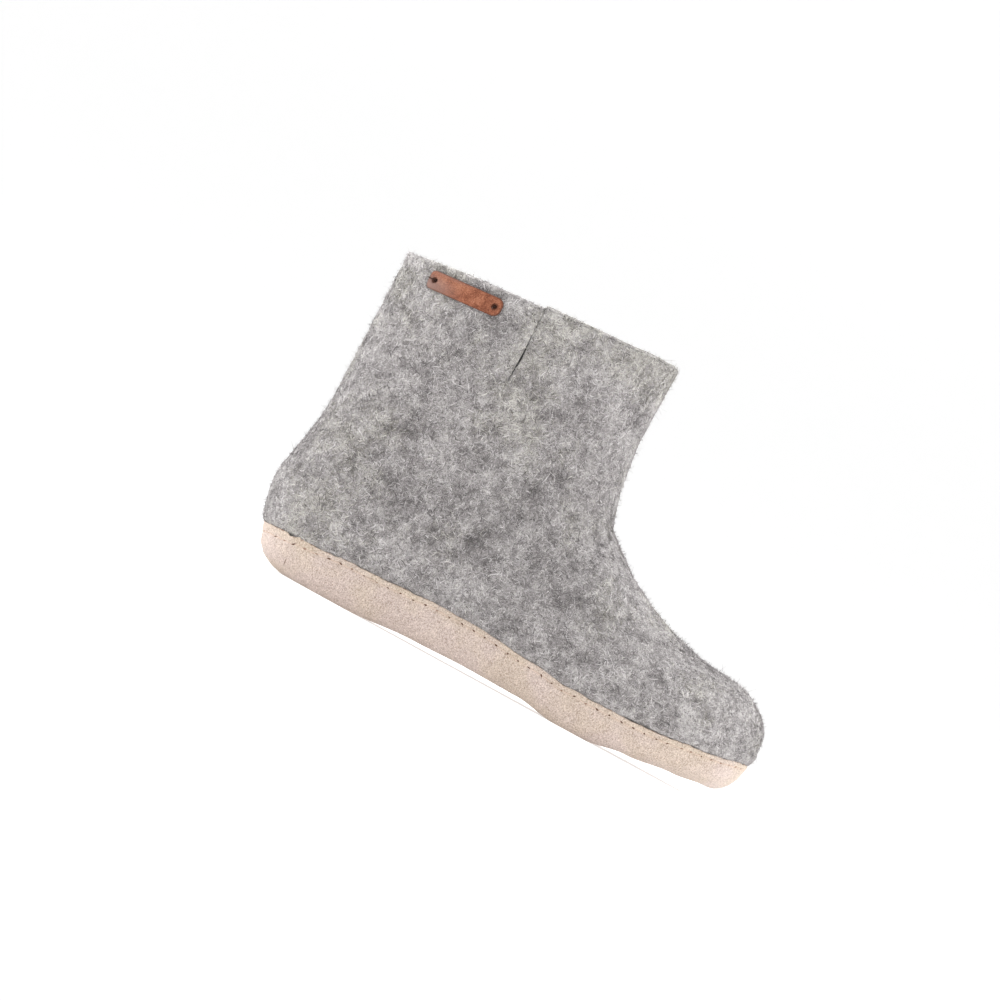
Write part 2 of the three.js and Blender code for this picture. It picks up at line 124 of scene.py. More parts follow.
# Sections of the felt's outer surface, as in the CAD source: top, rise, base, lift, half, wide,
# crown, corner, swing, ridge.
FOREFOOT = [
    [1.0, 0, 1.0, 1, 0, 0.4, 2.3, 2.3, 0.08, 0.08],
    [0.996, 0.26, 0.998, 0.62, 0.185, 0.4, 2.3, 2.4, 0.08, 0.08],
    [0.984, 0.44, 0.992, 0.36, 0.32, 0.4, 2.3, 2.5, 0.08, 0.08],
    [0.956, 0.59, 0.98, 0.19, 0.445, 0.4, 2.3, 2.7, 0.08, 0.08],
    [0.916, 0.755, 0.962, 0.08, 0.585, 0.39, 2.3, 2.9, 0.077, 0.078],
    [0.858, 0.915, 0.936, 0.02, 0.715, 0.38, 2.3, 3.1, 0.07, 0.073],
    [0.783, 1.01, 0.902, 0, 0.825, 0.37, 2.3, 3.3, 0.059, 0.068],
    [0.683, 1.035, 0.856, 0, 0.918, 0.355, 2.25, 3.4, 0.044, 0.062],
    [0.55, 1.13, 0.795, 0, 0.982, 0.335, 2.15, 3.5, 0.026, 0.055],
    [0.4, 1.295, 0.727, 0, 1.0, 0.315, 2.05, 3.6, 0.008, 0.047],
    [0.283, 1.495, 0.674, 0, 0.985, 0.31, 1.98, 3.7, -0.002, 0.039],
    [0.183, 1.715, 0.625, 0, 0.95, 0.315, 1.95, 3.8, -0.01, 0.031],
]
HEEL = [
    [0.112, 1.893, 0.565, 0, 1.21, 0.34, 1.95, 4.0, -0.02, 0.03],
    [0.0905, 1.957, 0.48, 0, 1.115, 0.375, 1.98, 4.3, -0.029, 0.022],
    [0.077, 2.004, 0.39, 0, 1.055, 0.405, 2.0, 4.6, -0.026, 0.015],
    [0.067, 2.036, 0.292, 0, 1.025, 0.43, 2.03, 4.8, -0.015, 0.01],
    [0.058, 2.073, 0.197, 0, 1.015, 0.445, 2.06, 4.3, -0.005, 0.006],
    [0.05, 2.107, 0.115, 0, 1.015, 0.45, 2.08, 3.5, 0, 0.003],
    [0.043, 2.141, 0.057, 0.065, 1.01, 0.45, 2.1, 2.8, 0, 0],
    [0.037, 2.173, 0.0265, 0.26, 1.01, 0.45, 2.1, 2.4, 0, 0],
    [0.032, 2.202, 0.0115, 0.5, 1.012, 0.45, 2.1, 2.25, 0, 0],
    [0.0275, 2.23, 0.003, 0.76, 1.018, 0.452, 2.1, 2.2, 0, 0],
]
LEG = [
    [0.0245, 2.258, 0, 1, 0.89, 0.455, 2.1, 2.18, 0, 0],
    [0.021, 2.292, 0.25, 1.082, 0.897, 0.46, 2.1, 2.17, 0, 0],
    [0.0155, 2.342, 0.59, 1.18, 0.908, 0.465, 2.1, 2.17, 0, 0],
    [0.0075, 2.424, 0.88, 1.295, 0.924, 0.47, 2.12, 2.17, 0, 0],
    [0.0005, 2.53, 1.0, 1.426, 0.943, 0.48, 2.14, 2.17, 0, 0],
    [-0.001, 2.65, 1.0, 1.574, 0.962, 0.49, 2.16, 2.18, 0, 0],
    [0, 2.77, 0.92, 1.721, 0.98, 0.5, 2.18, 2.19, 0, 0],
    [0, 2.885, 0.84, 1.861, 0.992, 0.5, 2.2, 2.2, 0, 0],
    [0, 3, 0.78, 2, 1.0, 0.5, 2.2, 2.2, 0, 0],
]

OUTER = 1.5 * math.pi  # the angle of the middle of the outer side, where the slit is


# The form of the boot

def blend(a, b, t):
    """Smooth step of t between a and b, from 0 to 1."""
    t = np.clip((t - a) / (b - a), 0, 1)
    return t * t * (3 - 2 * t)


def mix(a, b, t):
    return a + (b - a) * t


def hump(away, width):
    """A smooth hump, 1 high, over distances from its middle."""
    return np.exp(-((away / width) ** 2))


def eased(count):
    """Shares from 0 to 1 that lie closer together at both ends."""
    return (1 - np.cos(np.linspace(0, math.pi, count))) / 2


def steps_of(line):
    return np.linalg.norm(np.diff(line, axis=0), axis=1)


def gone_over(steps):
    return np.concatenate([[0], np.cumsum(steps)])


def evenly(values, steps, count):
    """Values between which the steps are all as long."""
    gone = gone_over(steps)
    return np.interp(np.linspace(0, gone[-1], count), gone, values)


def height_at(table, x):
    """Smooth height over x from a table of [share of LENGTH, height]."""
    shares, heights = np.array(table, float).T
    share = np.clip(np.asarray(x, float) / LENGTH, 0, 1)
    i = np.clip(np.searchsorted(shares, share) - 1, 0, len(shares) - 2)
    t = (share - shares[i]) / (shares[i + 1] - shares[i])
    return mix(heights[i], heights[i + 1], t * t * (3 - 2 * t))


def tread_at(x):
    return height_at(TREAD, x)


def rim_at(x):
    return height_at(RIM, x)


def section(row, width, base_length, tip_height):
    """A table's row in millimetres."""
    top, rise, base, lift, half, wide, crown, corner, swing, ridge = row
    base_x = base * base_length
    tops = [TOE_TIP_HEIGHT, TOE_HEIGHT, INSTEP_HEIGHT, COLLAR_HEIGHT]
    bases = [tread_at(base_x) + SOLE_FLOOR - SUEDE, tip_height, COLLAR_BACK_HEIGHT]
    top_z = np.interp(rise, range(4), tops)
    base_z = np.interp(lift, range(3), bases)
    top_x = SHAFT_FRONT + top * VAMP_LENGTH
    return [top_x, top_z, base_x, base_z, half * width / 2, wide, crown, corner, swing * width, ridge * width]


SECTIONS = np.array(
    [section(row, BALL_WIDTH, LENGTH, TOE_TIP_HEIGHT) for row in FOREFOOT]
    + [section(row, HEEL_WIDTH, LENGTH, HEEL_BULGE_HEIGHT) for row in HEEL]
    + [section(row, SHAFT_WIDTH, HEEL_BULGE, HEEL_BULGE_HEIGHT) for row in LEG]
)
LAST = len(SECTIONS) - 1


def section_at(u):
    """The sections at places u, from 0 at the toe tip to LAST at the collar."""
    u = np.asarray(u, float)
    i = np.minimum(np.floor(u).astype(int), LAST - 1)
    a, b, c, d = (SECTIONS[np.clip(i + n, 0, LAST)] for n in (-1, 0, 1, 2))
    t = (u - i)[..., None]
    return b + 0.5 * t * (c - a + t * (2 * a - 5 * b + 4 * c - d + t * (3 * (b - c) + d - a)))


def place(s, q, side):
    """Points of sections: q runs from base to top, side from -1 outer to 1 inner."""
    top_x, top_z, base_x, base_z, half, _, _, _, base_y, top_y = np.moveaxis(s, -1, 0)
    x = mix(base_x, top_x, q)
    y = mix(base_y, top_y, q) + side * half
    z = mix(base_z, top_z, q)
    return np.stack([x, y, z], -1)


def surface(u, angle):
    """The felt's outer surface, at an angle round each section from its top over its inner side."""
    u, angle = np.broadcast_arrays(np.asarray(u, float), np.asarray(angle, float))
    s = section_at(u)
    up = np.cos(angle)
    out = np.sin(angle)
    power = np.where(up > 0, s[..., 6], s[..., 7])
    reach = (np.abs(up) ** power + np.abs(out) ** power) ** (-1 / power)
    wide = s[..., 5]
    q = wide + np.where(up > 0, 1 - wide, wide) * reach * up
    return place(s, q, reach * out)


def unit(v):
    return v / np.maximum(np.linalg.norm(v, axis=-1, keepdims=True), 1e-9)


def normal(u, angle):
    """The outward direction of that surface."""
    step = 0.02
    u, angle = np.broadcast_arrays(np.asarray(u, float), np.asarray(angle, float))
    low = np.clip(u - step, 0.01, LAST - 2 * step)
    along = surface(low + 2 * step, angle) - surface(low, angle)
    here = np.maximum(u, 0.01)
    around = surface(here, angle + step) - surface(here, angle - step)
    made = unit(np.cross(around, along))
    made[u < 0.005] = [1, 0, 0]
    return made


TAG_WORN_CORNER = 3.6  # its front corners are worn rounder

TAG_ANGLES = np.linspace(math.pi, OUTER + 0.6, 600)
TAG_GONE = gone_over(steps_of(surface(LAST, TAG_ANGLES)))


def on_tag(x, up, out):
    """Points at a length along the tag, up from its middle line and out from the felt."""
    x, up, out = np.broadcast_arrays(*(np.asarray(v, float) for v in (x, up, out)))
    angle = np.interp(TAG_FROM_BACK + x, TAG_GONE, TAG_ANGLES)
    collar = surface(LAST, angle)
    wanted = TAG_DROP - up
    u = np.full(x.shape, LAST - 0.6)
    for _ in range(8):
        far = np.linalg.norm(surface(u, angle) - collar, axis=-1)
        u = np.clip(LAST - (LAST - u) * wanted / np.maximum(far, 1e-3), LAST - 6, LAST - 1e-3)
    return surface(u, angle) + normal(u, angle) * (GAP + out)[..., None]


def tag_half(x):
    """Half the tag's height at a length along it."""
    corner = np.where(x < TAG_LENGTH / 2, TAG_CORNER, TAG_WORN_CORNER)
    past = np.maximum(np.maximum(corner - x, x - TAG_LENGTH + corner), 0)
    return TAG_WIDTH / 2 - corner + np.sqrt(np.maximum(corner**2 - past**2, 0))


def tag_outline():
    """Points round the edge of the tag, against the felt, from which the painted shadow round the tag is
    measured.
    """
    x = TAG_LENGTH * eased(70)
    half = tag_half(x)
    return np.concatenate([on_tag(x, half, 0), on_tag(x, -half, 0)])


TAG_OUTLINE = tag_outline()


def lattice(i, j, k, seed):
    """A fixed random number from -1 to 1 for each corner of a lattice."""
    h = (i * 374761393 + j * 668265263 + k * 1274126177 + seed * 144269) & 0xFFFFFFFF
    h = ((h ^ (h >> 13)) * 1103515245) & 0xFFFFFFFF
    h = ((h ^ (h >> 15)) * 362437) & 0xFFFFFFFF
    return (h ^ (h >> 16)) / 2147483647.5 - 1


def noise(points, size, seed):
    """Smooth noise of about -1 to 1 with lumps of a size, at points."""
    p = np.asarray(points, float) / size
    whole = np.floor(p).astype(np.int64)
    f = p - whole
    f = f * f * (3 - 2 * f)
    i, j, k = np.moveaxis(whole, -1, 0)
    x, y, z = np.moveaxis(f, -1, 0)
    total = 0
    for a, b, c in np.ndindex(2, 2, 2):
        weight = (x if a else 1 - x) * (y if b else 1 - y) * (z if c else 1 - z)
        total = total + weight * lattice(i + a, j + b, k + c, seed)
    return total


# Meshes

def to_frame(points):
    return (np.asarray(points, float) - ORIGIN) * METRES


def triangles_of(quads):
    return np.concatenate([quads[:, [0, 1, 2]], quads[:, [0, 2, 3]]])


def grid_triangles(rows, columns, first=0, closed=False):
    """Triangles over a grid of points, row after row. Closed joins the last column to the first."""
    r, c = np.meshgrid(np.arange(rows - 1), np.arange(columns if closed else columns - 1), indexing="ij")
    after = (c + 1) % columns
    a = r * columns + c
    b = r * columns + after
    quads = np.stack([a, b, b + columns, a + columns], -1).reshape(-1, 4)
    return triangles_of(quads) + first


def weld(points, triangles, within=1e-3):
    """Joins points that coincide, drops the triangles that this closes, and turns the rest outwards.
    Also gives which of the points it kept."""
    keys = np.round(points / within).astype(np.int64)
    _, first, joined = np.unique(keys, axis=0, return_index=True, return_inverse=True)
    triangles = joined.reshape(-1)[triangles]
    a, b, c = triangles.T
    triangles = triangles[(a != b) & (b != c) & (c != a)]
    points = points[first]
    a, b, c = (points[triangles[:, n]] for n in range(3))
    volume = np.einsum("ij,ij->i", a, np.cross(b, c)).sum()
    return points, triangles if volume > 0 else triangles[:, ::-1], first


def add_object(name, data):
    made = bpy.data.objects.new(name, data)
    bpy.context.scene.collection.objects.link(made)
    return made


def add_mesh(name, points, triangles, materials, which=None):
    """A smooth mesh from points in millimetres. which gives each triangle's material."""
    mesh = bpy.data.meshes.new(name)
    mesh.vertices.add(len(points))
    mesh.vertices.foreach_set("co", to_frame(points).astype(np.float32).ravel())
    mesh.loops.add(triangles.size)
    mesh.loops.foreach_set("vertex_index", triangles.astype(np.int32).ravel())
    mesh.polygons.add(len(triangles))
    mesh.polygons.foreach_set("loop_start", np.arange(0, triangles.size, 3, dtype=np.int32))
    mesh.polygons.foreach_set("use_smooth", np.ones(len(triangles), bool))
    for material in materials:
        mesh.materials.append(material)
    if which is not None:
        mesh.polygons.foreach_set("material_index", which.astype(np.int32))
    mesh.update(calc_edges=True)
    return add_object(name, mesh)


def keep_value(piece, name, values):
    """Keeps a number for each point of a piece, for its material to read."""
    made = piece.data.attributes.new(name, "FLOAT", "POINT")
    made.data.foreach_set("value", np.asarray(values, np.float32))


# Materials

def new_material(name):
    material = bpy.data.materials.new(name)
    material.use_nodes = True
    return material, material.node_tree.nodes, material.node_tree.links


def linear(red, green, blue):
    """A colour of 0 to 255 as linear light."""
    shares = (red / 255, green / 255, blue / 255)
    return [s / 12.92 if s <= 0.04045 else ((s + 0.055) / 1.055) ** 2.4 for s in shares] + [1]


def fill(node, links, values):
    """Sets a node's sockets to numbers and colours, or links them to other nodes."""
    for key, value in values.items():
        if isinstance(value, bpy.types.NodeSocket):
            links.new(value, node.inputs[key])
        else:
            node.inputs[key].default_value = value
    return node


def plain(name, colour, roughness=1.0):
    material, nodes, links = new_material(name)
    values = {"Base Color": colour, "Roughness": roughness, "Specular IOR Level": 0.1}
    fill(nodes["Principled BSDF"], links, values)
    return material


class Pattern:
    """A material's nodes: noise in the piece's own coordinates, sized in millimetres."""

    def __init__(self, name, roughness, specular):
        self.material, self.nodes, self.links = new_material(name)
        self.base = self.nodes["Principled BSDF"]
        self.set({"Roughness": roughness, "Specular IOR Level": specular})
        self.place = self.nodes.new("ShaderNodeTexCoord").outputs["Object"]

    def set(self, values):
        fill(self.base, self.links, values)

    def add(self, kind, values):
        return fill(self.nodes.new("ShaderNode" + kind), self.links, values)

    def noise(self, size, detail=2, rough=0.5, distortion=0.0, stretch=None):
        place_in = self.place
        if stretch:
            place_in = self.add("Mapping", {"Vector": place_in, "Scale": stretch}).outputs["Vector"]
        values = {"Vector": place_in, "Scale": 1 / (size * METRES), "Detail": detail}
        values |= {"Roughness": rough, "Distortion": distortion}
        return self.add("TexNoise", values).outputs["Fac"]

    def ramp(self, value, stops):
        made = self.add("ValToRGB", {"Fac": value})
        while len(made.color_ramp.elements) < len(stops):
            made.color_ramp.elements.new(0.5)
        for element, (at, colour) in zip(made.color_ramp.elements, stops):
            element.position = at
            element.color = linear(*colour)
        return made.outputs["Color"]

    def span(self, value, low, high, to_low=0.0, to_high=1.0):
        values = {"Value": value, "From Min": low, "From Max": high, "To Min": to_low, "To Max": to_high}
        return self.add("MapRange", values).outputs["Result"]

    def math(self, kind, a, b):
        made = self.add("Math", {0: a, 1: b})
        made.operation = kind
        return made.outputs["Value"]

    def total(self, first, *others):
        for value in others:
            first = self.math("ADD", first, value)
        return first

    def mix(self, a, b, factor, kind="MIX"):
        made = self.nodes.new("ShaderNodeMix")
        made.data_type = "RGBA"
        made.blend_type = kind
        made.clamp_result = True
        return fill(made, self.links, {0: factor, 6: a, 7: b}).outputs[2]

    def bump(self, height, distance, strength):
        values = {"Height": height, "Distance": distance * METRES, "Strength": strength}
        self.set({"Normal": self.add("Bump", values).outputs["Normal"]})

    def value(self, name):
        made = self.nodes.new("ShaderNodeAttribute")
        made.attribute_name = name
        return made.outputs["Fac"]


def felt_material():
    """Grey wool under the fibres, cloudy as they are, with dark gaps between fine tufts that are partly
    painted shade, and the painted shade that its kept tone holds.
    """
    felt = Pattern("wool_felt", 1.0, 0.05)
    tufts = felt.noise(2.0, detail=2, rough=0.6, distortion=1.5)
    hairs = felt.noise(0.9, detail=1, rough=0.6, distortion=2.0)
    # The kept tone holds the wool's clouds and its painted shade.
    light = felt.total(
        felt.span(felt.value("tone"), -8, 2, -2.4, 0.6),
        felt.span(tufts, 0.25, 0.75, -0.7, 0.7),
        felt.span(hairs, 0.25, 0.75, -0.9, 0.9),
    )
    # The ramp's dark low end paints shade in the gaps between tufts.
    tone = felt.ramp(
        felt.span(light, -2.0, 1.4),
        [
            (0.0, (24, 23, 23)),
            (0.18, (72, 69, 68)),
            (0.47, (126, 122, 121)),
            (0.67, (162, 158, 156)),
            (1.0, (214, 211, 208)),
        ],
    )
    felt.set({"Base Color": tone, "Sheen Weight": 0.3, "Sheen Roughness": 0.6})
    felt.bump(felt.total(tufts, hairs), 0.6, 0.9)
    return felt.material


def suede_material():
    """Pale brushed suede: fine sandy nap, pinker and yellower patches, and darker brown spots along the top
    of its rim.
    """
    suede = Pattern("suede", 0.95, 0.12)
    clouds = suede.noise(9, detail=3, rough=0.6, distortion=0.8)
    nap = suede.noise(0.9, detail=2, rough=0.75, distortion=0.4, stretch=(1.5, 1, 0.7))
    grit = suede.noise(0.6, detail=1)
    light = suede.total(
        suede.span(clouds, 0.3, 0.7, -0.2, 0.2),
        suede.span(nap, 0.28, 0.72, -0.6, 0.6),
        suede.span(grit, 0.25, 0.75, -1.0, 1.0),
    )
    tone = suede.ramp(
        suede.span(light, -1.3, 1.3),
        [(0.0, (150, 133, 122)), (0.5, (192, 176, 168)), (1.0, (224, 209, 201))],
    )
    hue = suede.noise(16, detail=1)
    tone = suede.mix(tone, [0.98, 0.98, 0.92, 1], suede.span(hue, 0.42, 0.62), "MULTIPLY")
    below = suede.value("below_rim")
    tone = suede.mix(tone, [1.0, 1.0, 0.96, 1], suede.span(below, 4.6, 2.6), "MULTIPLY")
    # Darker brown spots along the top of the rim, where it meets the felt.
    spots = suede.span(suede.noise(5), 0.5, 0.64)
    dark_rim_spots = suede.math("MULTIPLY", spots, suede.span(below, 0.6, 0.0))
    tone = suede.mix(tone, linear(112, 78, 62), suede.math("MULTIPLY", dark_rim_spots, 0.75))
    suede.set({"Base Color": tone, "Sheen Weight": 0.15})
    suede.bump(suede.total(nap, grit), 0.3, 0.7)
    return suede.material


def leather_material():
    """Reddish brown grained leather, darker along its cut edges and holes, with painted shade widening that
    at its front end, paler where it is worn at its rear end, and with a painted highlight along its upper
    edge.
    """
    leather = Pattern("tag_leather", 0.65, 0.2)
    grain = leather.add("TexVoronoi", {"Scale": 1 / (0.8 * METRES), "Vector": leather.place})
    fine = leather.noise(0.55, detail=3, rough=0.7)
    clouds = leather.noise(4.5, detail=3)
    clouds = leather.span(clouds, 0.3, 0.7, -0.45, 0.45)
    light = leather.total(clouds, leather.span(fine, 0.3, 0.7, -0.8, 0.8))
    tone = leather.ramp(
        leather.span(light, -0.9, 0.9),
        [(0.0, (90, 48, 32)), (0.5, (135, 80, 57)), (1.0, (178, 124, 96))],
    )
    wear_and_highlight = leather.value("wear_and_highlight")
    # Greyer and paler where worn at the rear end, and a painted highlight along the upper edge.
    tone = leather.mix(tone, linear(134, 112, 105), leather.span(wear_and_highlight, 0, 1, 0, 0.75))
    # Darker along the cut edges and round the holes, their burnished colour, widened at the front end as
    # painted shade.
    tone = leather.mix(tone, linear(84, 48, 36), leather.span(leather.value("edge"), 0.75, 0.1, 0, 0.75))
    leather.set({"Base Color": tone})
    leather.bump(leather.total(grain.outputs["Distance"], fine), 0.25, 0.7)
    return leather.material


FELT_LOOK = felt_material()
SUEDE_LOOK = suede_material()
LEATHER_LOOK = leather_material()
THREAD_LOOK = plain("thread", linear(200, 180, 166), 0.9)
DARK_THREAD_LOOK = plain("dark_thread", linear(58, 40, 34), 0.9)
# Dark and fainter tones of painted shade, for the seam's holes and the heel's crease.
DARK_SHADE_LOOK = plain("dark_painted_shade", linear(100, 74, 62), 1.0)
FAINT_SHADE_LOOK = plain("faint", linear(150, 124, 110), 1.0)
WOOL_GREYS = [98, 122, 144, 162, 179, 193, 205]  # the fibres' tones, dark to pale
WOOL_LOOKS = [plain(f"wool_{grey}", linear(grey + 3, grey - 1, grey - 1)) for grey in WOOL_GREYS]
WOOL_LOOKS += [plain(f"wool_warm_{grey}", linear(grey + 3, grey, grey - 6)) for grey in WOOL_GREYS]


def wool_tone_and_shade(points):
    """How pale the wool is, in steps of the fibres' tones: cloudy at several sizes and paler near the collar,
    with painted shade just above the sole's rim, in a band at mid height and round the tag, and with the
    patches below, which are partly painted shade and light.
    """
    tone = (
        0.6 * noise(points, 19, 201)
        + 0.8 * noise(points, 9, 202)
        + 1.0 * noise(points, 4.6, 203)
        + 1.5 * noise(points, 2.6, 204)
    )
    x, y, z = points.T
    # Painted shade where the felt meets the suede: a thin uneven band just above the sole's rim, darkest at
    # the toe.
    groove = 1.2 + 2.2 * noise(points, 7, 205) + 2 * blend(215, 235, x)
    reach = 0.7 - 0.25 * blend(205, 230, x)
    tone = tone - groove * hump(z - rim_at(x), reach) + 0.4 * blend(150, 166, z)
    # Painted shade: a darker band round z = 56 along the foot and heel, fading out towards the toe.
    tone = tone - 0.8 * hump(z - 56, 12) * blend(205, 180, x)
    # Painted shadow of the tag: the wool darkens within about a millimetre of its outline.
    tag_shadow_zone = (z > 140) & (x < 70) & (y < 0)
    far = np.linalg.norm(points[tag_shadow_zone, None] - TAG_OUTLINE[None], axis=-1).min(1)
    tone[tag_shadow_zone] -= 2.2 * hump(far, 1.0)
    # Patches on the outer side: partly the wool's own tone, partly painted shade and painted light.
    for patch_x, patch_z, radius, amount in TONE_AND_SHADE_PATCHES:
        near = ((x - patch_x) ** 2 + (z - patch_z) ** 2) / radius**2
        tone = tone + amount * np.exp(-near) * (y < 12)
    return tone


def wool_warmth(points):
    """Where the wool is a little yellower."""
    collar = blend(148, 166, points[..., 2]) * blend(50, 75, points[..., 0])
    return 0.7 * noise(points, 28, 211) + 0.5 * noise(points, 9, 212) + 0.4 * collar


# Paler and darker patches on the outer side, partly the wool's own tone and partly painted shade and painted
# light: [x, z, radius, tones].
TONE_AND_SHADE_PATCHES = [
    [128, 53, 13, -0.5],
    [42, 56, 13, -0.5],
    [16, 70, 14, -0.5],
    [236, 44, 18, 0.5],
    [210, 55, 13, -1.2],
    [226, 31, 9, 0.9],
    [146, 56, 11, -0.5],
    [26, 108, 10, -0.6],
    [104, 117, 12, 0.7],
    [57, 96, 9, -0.7],
    [103, 150, 10, -0.6],
    [73, 140, 8, -0.5],
    [30, 160, 14, 0.3],
    [76, 166, 8, 0.7],
]


# The felt

FELT_ROWS = 300  # from the toe tip to the collar
FELT_COLUMNS = 224  # round the boot, starting and ending at the slit
FELT_FINE_INSIDE = 40  # fine rows inside, below the collar
SLIT_ROWS = 34  # rows that the slit's cut faces reach down
UNLIT_TONE = -8  # of the slit's cut faces, which no light reaches
# The rounded edge of the felt, from its outer to its inner surface: [depth, drop].
FELT_EDGE = [[0.1, 0.6], [0.45, 0.2], [1.1, 0.03], [2.0, 0.0], [2.9, 0.03], [3.55, 0.2], [3.9, 0.6]]
FELT_EDGE_DROP = 1.2


def even_places(count):
    """Places u from the toe tip to the collar, about evenly far apart on the boot's surface."""
    fine = np.linspace(0, LAST, 1200)
    angles = (0, 0.5 * math.pi, 0.8 * math.pi, math.pi)
    return evenly(fine, sum(steps_of(surface(fine, angle)) for angle in angles), count)


def felt_angles():
    """Angles of the columns: from the slit once round, closer together near the slit."""
    share = np.linspace(0, 1, FELT_COLUMNS + 1)
    return OUTER + 2 * math.pi * (share - 0.5 * np.sin(2 * math.pi * share) / (2 * math.pi))


# From the back round to the front, as shares of half a turn: the hand-cut collar's height.
COLLAR_WAVE = [
    [0, 0.15, 0.24, 0.33, 0.5, 0.7, 0.8, 0.9, 1],
    [-1.1, -0.9, -0.4, 0.4, 0.1, -0.5, 0, -0.4, -0.7],
]
# From the collar down, as shares of the slit's length: half its width.
SLIT_HALVES = [
    [-0.1, 0, 0.35, 0.55, 0.65, 0.82, 1],
    [0.05, 0.05, 0.125, 0.35, 0.575, 0.55, 0],
]


def collar_rise(angle):
    """How far the collar stands above its plane: highest right in front of the slit."""
    turned = np.mod(angle - 1e-6, 2 * math.pi)
    wave = np.interp(np.abs(turned / math.pi - 1), *COLLAR_WAVE)
    outer = turned > math.pi
    front = np.where(outer, 2 * math.pi - turned, turned) / (math.pi / 2)
    rise = SLIT_RISE * front * np.where(outer, 2 - front, 2 * (1 - front))
    return np.where(front > 1, 0, rise) + wave


def felt_lumps(points):
    """The uneven surface of hand-felted wool."""
    return (
        0.5 * noise(points, 26, 3)
        + 0.3 * noise(points, 10, 5)
        + 0.3 * noise(points, 4.5, 7)
        + 0.3 * noise(points, 2.6, 9)
    )


def felt_shape(u, angle, depth, drop=0.0):
    """Points of the felt at a depth in from its outer surface, and drop below its collar."""
    base = surface(u, angle)
    out = normal(u, angle)
    above = base[..., 2] - rim_at(base[..., 0])
    bulge = 0.7 * hump(above - 3.6, 3.0)
    bulge = bulge * (0.3 + 0.7 * blend(10, 50, base[..., 0]))
    tuck = (SUEDE + GAP) * (1 - blend(-1.6, 0.8, above))
    moved = felt_lumps(base) + np.where(above > -6, bulge, 0) - tuck
    inner = np.clip(depth / FELT, 0, 1)
    points = base + out * (moved * (1 - inner) - depth)[..., None]
    points[..., 2] += collar_rise(angle) * blend(16, 0, (LAST - u) * 8) - drop
    return points


def open_slit(points, depth, angle):
    """Parts the felt at the slit: its front edge stands back, and its rear edge stands proud."""
    at_x, _, at_z = place(SECTIONS[-1], SECTIONS[-1][5], -1)
    down = (at_z - points[..., 2]) / SLIT_LENGTH
    away = points[..., 0] - at_x
    outer = (points[..., 1] < 0) & (points[..., 2] > at_z - 1.6 * SLIT_LENGTH)
    front = (angle - OUTER) < math.pi
    half = np.interp(down, *SLIT_HALVES)
    near = np.exp(-np.abs(away) / 4) * np.clip(1 - 1.5 * depth / FELT, 0, 1)
    lean = 1.5 * np.clip(down, 0, 1) * blend(1.6, 1.0, down) * hump(away, 14)
    shift = lean + np.where(front, 1, -1) * half * near
    proud = np.where(front, -0.45, 0.55) * blend(1.0, 0.2, down) * np.exp(-np.abs(away) / 6)
    sink = -0.5 * hump(away, 0.5) * (down < 1) * (1 - depth / FELT)
    points[..., 0] += np.where(outer, shift, 0)
    points[..., 1] -= np.where(outer, proud + sink, 0)
    return points


def felt_grid():
    """The felt's outer surface, its rounded edge and its inner surface, as rows of points."""
    angles = felt_angles()
    places = even_places(FELT_ROWS)
    places = places[places < LAST - 0.06]
    inside = places[::-1]
    fine = [(u, 0.0, 0.0) for u in places]
    fine += [(LAST, *row) for row in [[0, FELT_EDGE_DROP], *FELT_EDGE, [FELT, FELT_EDGE_DROP]]]
    fine += [(u, FELT, 0.0) for u in inside[:FELT_FINE_INSIDE]]
    u, depth, drop = (np.array(values)[:, None] for values in zip(*fine))
    points = felt_shape(u, angles[None, :], depth, drop)
    points = open_slit(points, depth, angles[None, :])
    points[0] = points[0].mean(0)
    return points, len(places), inside[FELT_FINE_INSIDE:], angles


FELT_GRID, FELT_OUTER_ROWS, FELT_DEEP_PLACES, FELT_ANGLES = felt_grid()


def felt_upper():
    fine = FELT_GRID
    rows, columns, _ = fine.shape
    triangles = [grid_triangles(rows, columns)]
    # Deeper inside, every second column and every third row do.
    deep_places = np.append(FELT_DEEP_PLACES[2::3], 0.0)
    deep = np.full((len(deep_places), 1), FELT)
    coarse = felt_shape(deep_places[:, None], FELT_ANGLES[None, ::2], deep)
    coarse[-1] = coarse[-1].mean(0)
    first = rows * columns
    wide = coarse.shape[1]
    triangles.append(grid_triangles(len(coarse), wide, first))
    d0 = (rows - 1) * columns + 2 * np.arange(wide - 1)
    c0 = first + np.arange(wide - 1)
    triangles.append(np.stack([d0, d0 + 1, c0], -1))
    triangles.append(np.stack([d0 + 1, c0 + 1, c0], -1))
    triangles.append(np.stack([d0 + 1, d0 + 2, c0 + 1], -1))
    # The two cut faces of the slit, each from the outer to the inner surface.
    edge = FELT_OUTER_ROWS
    steps = len(FELT_EDGE) + 2
    shares = np.array([0] + [row[0] / FELT for row in FELT_EDGE] + [1])
    walls = []
    cut_from = first + len(coarse) * wide
    start = cut_from
    for column in (0, columns - 1):
        outer = fine[edge - SLIT_ROWS : edge, column]
        inner = fine[edge + steps : edge + steps + SLIT_ROWS, column][::-1]
        wall = mix(outer[:, None], inner[:, None], shares[None, :, None])
        wall = np.concatenate([wall, fine[None, edge : edge + steps, column]])
        side = grid_triangles(len(wall), steps, start)
        triangles.append(side if column else side[:, ::-1])
        walls.append(wall.reshape(-1, 3))
        start += wall.shape[0] * steps
    points = np.concatenate([fine.reshape(-1, 3), coarse.reshape(-1, 3)] + walls)
    points, faces, first = weld(points, np.concatenate(triangles))
    piece = add_mesh("felt_upper", points, faces, [FELT_LOOK])
    # The kept tone holds the wool's own tone and its painted shade, and the slit's cut faces get a tone of
    # painted shade.
    tone = wool_tone_and_shade(points)
    tone[first >= cut_from] = UNLIT_TONE
    keep_value(piece, "tone", tone)
    return piece


# The sole

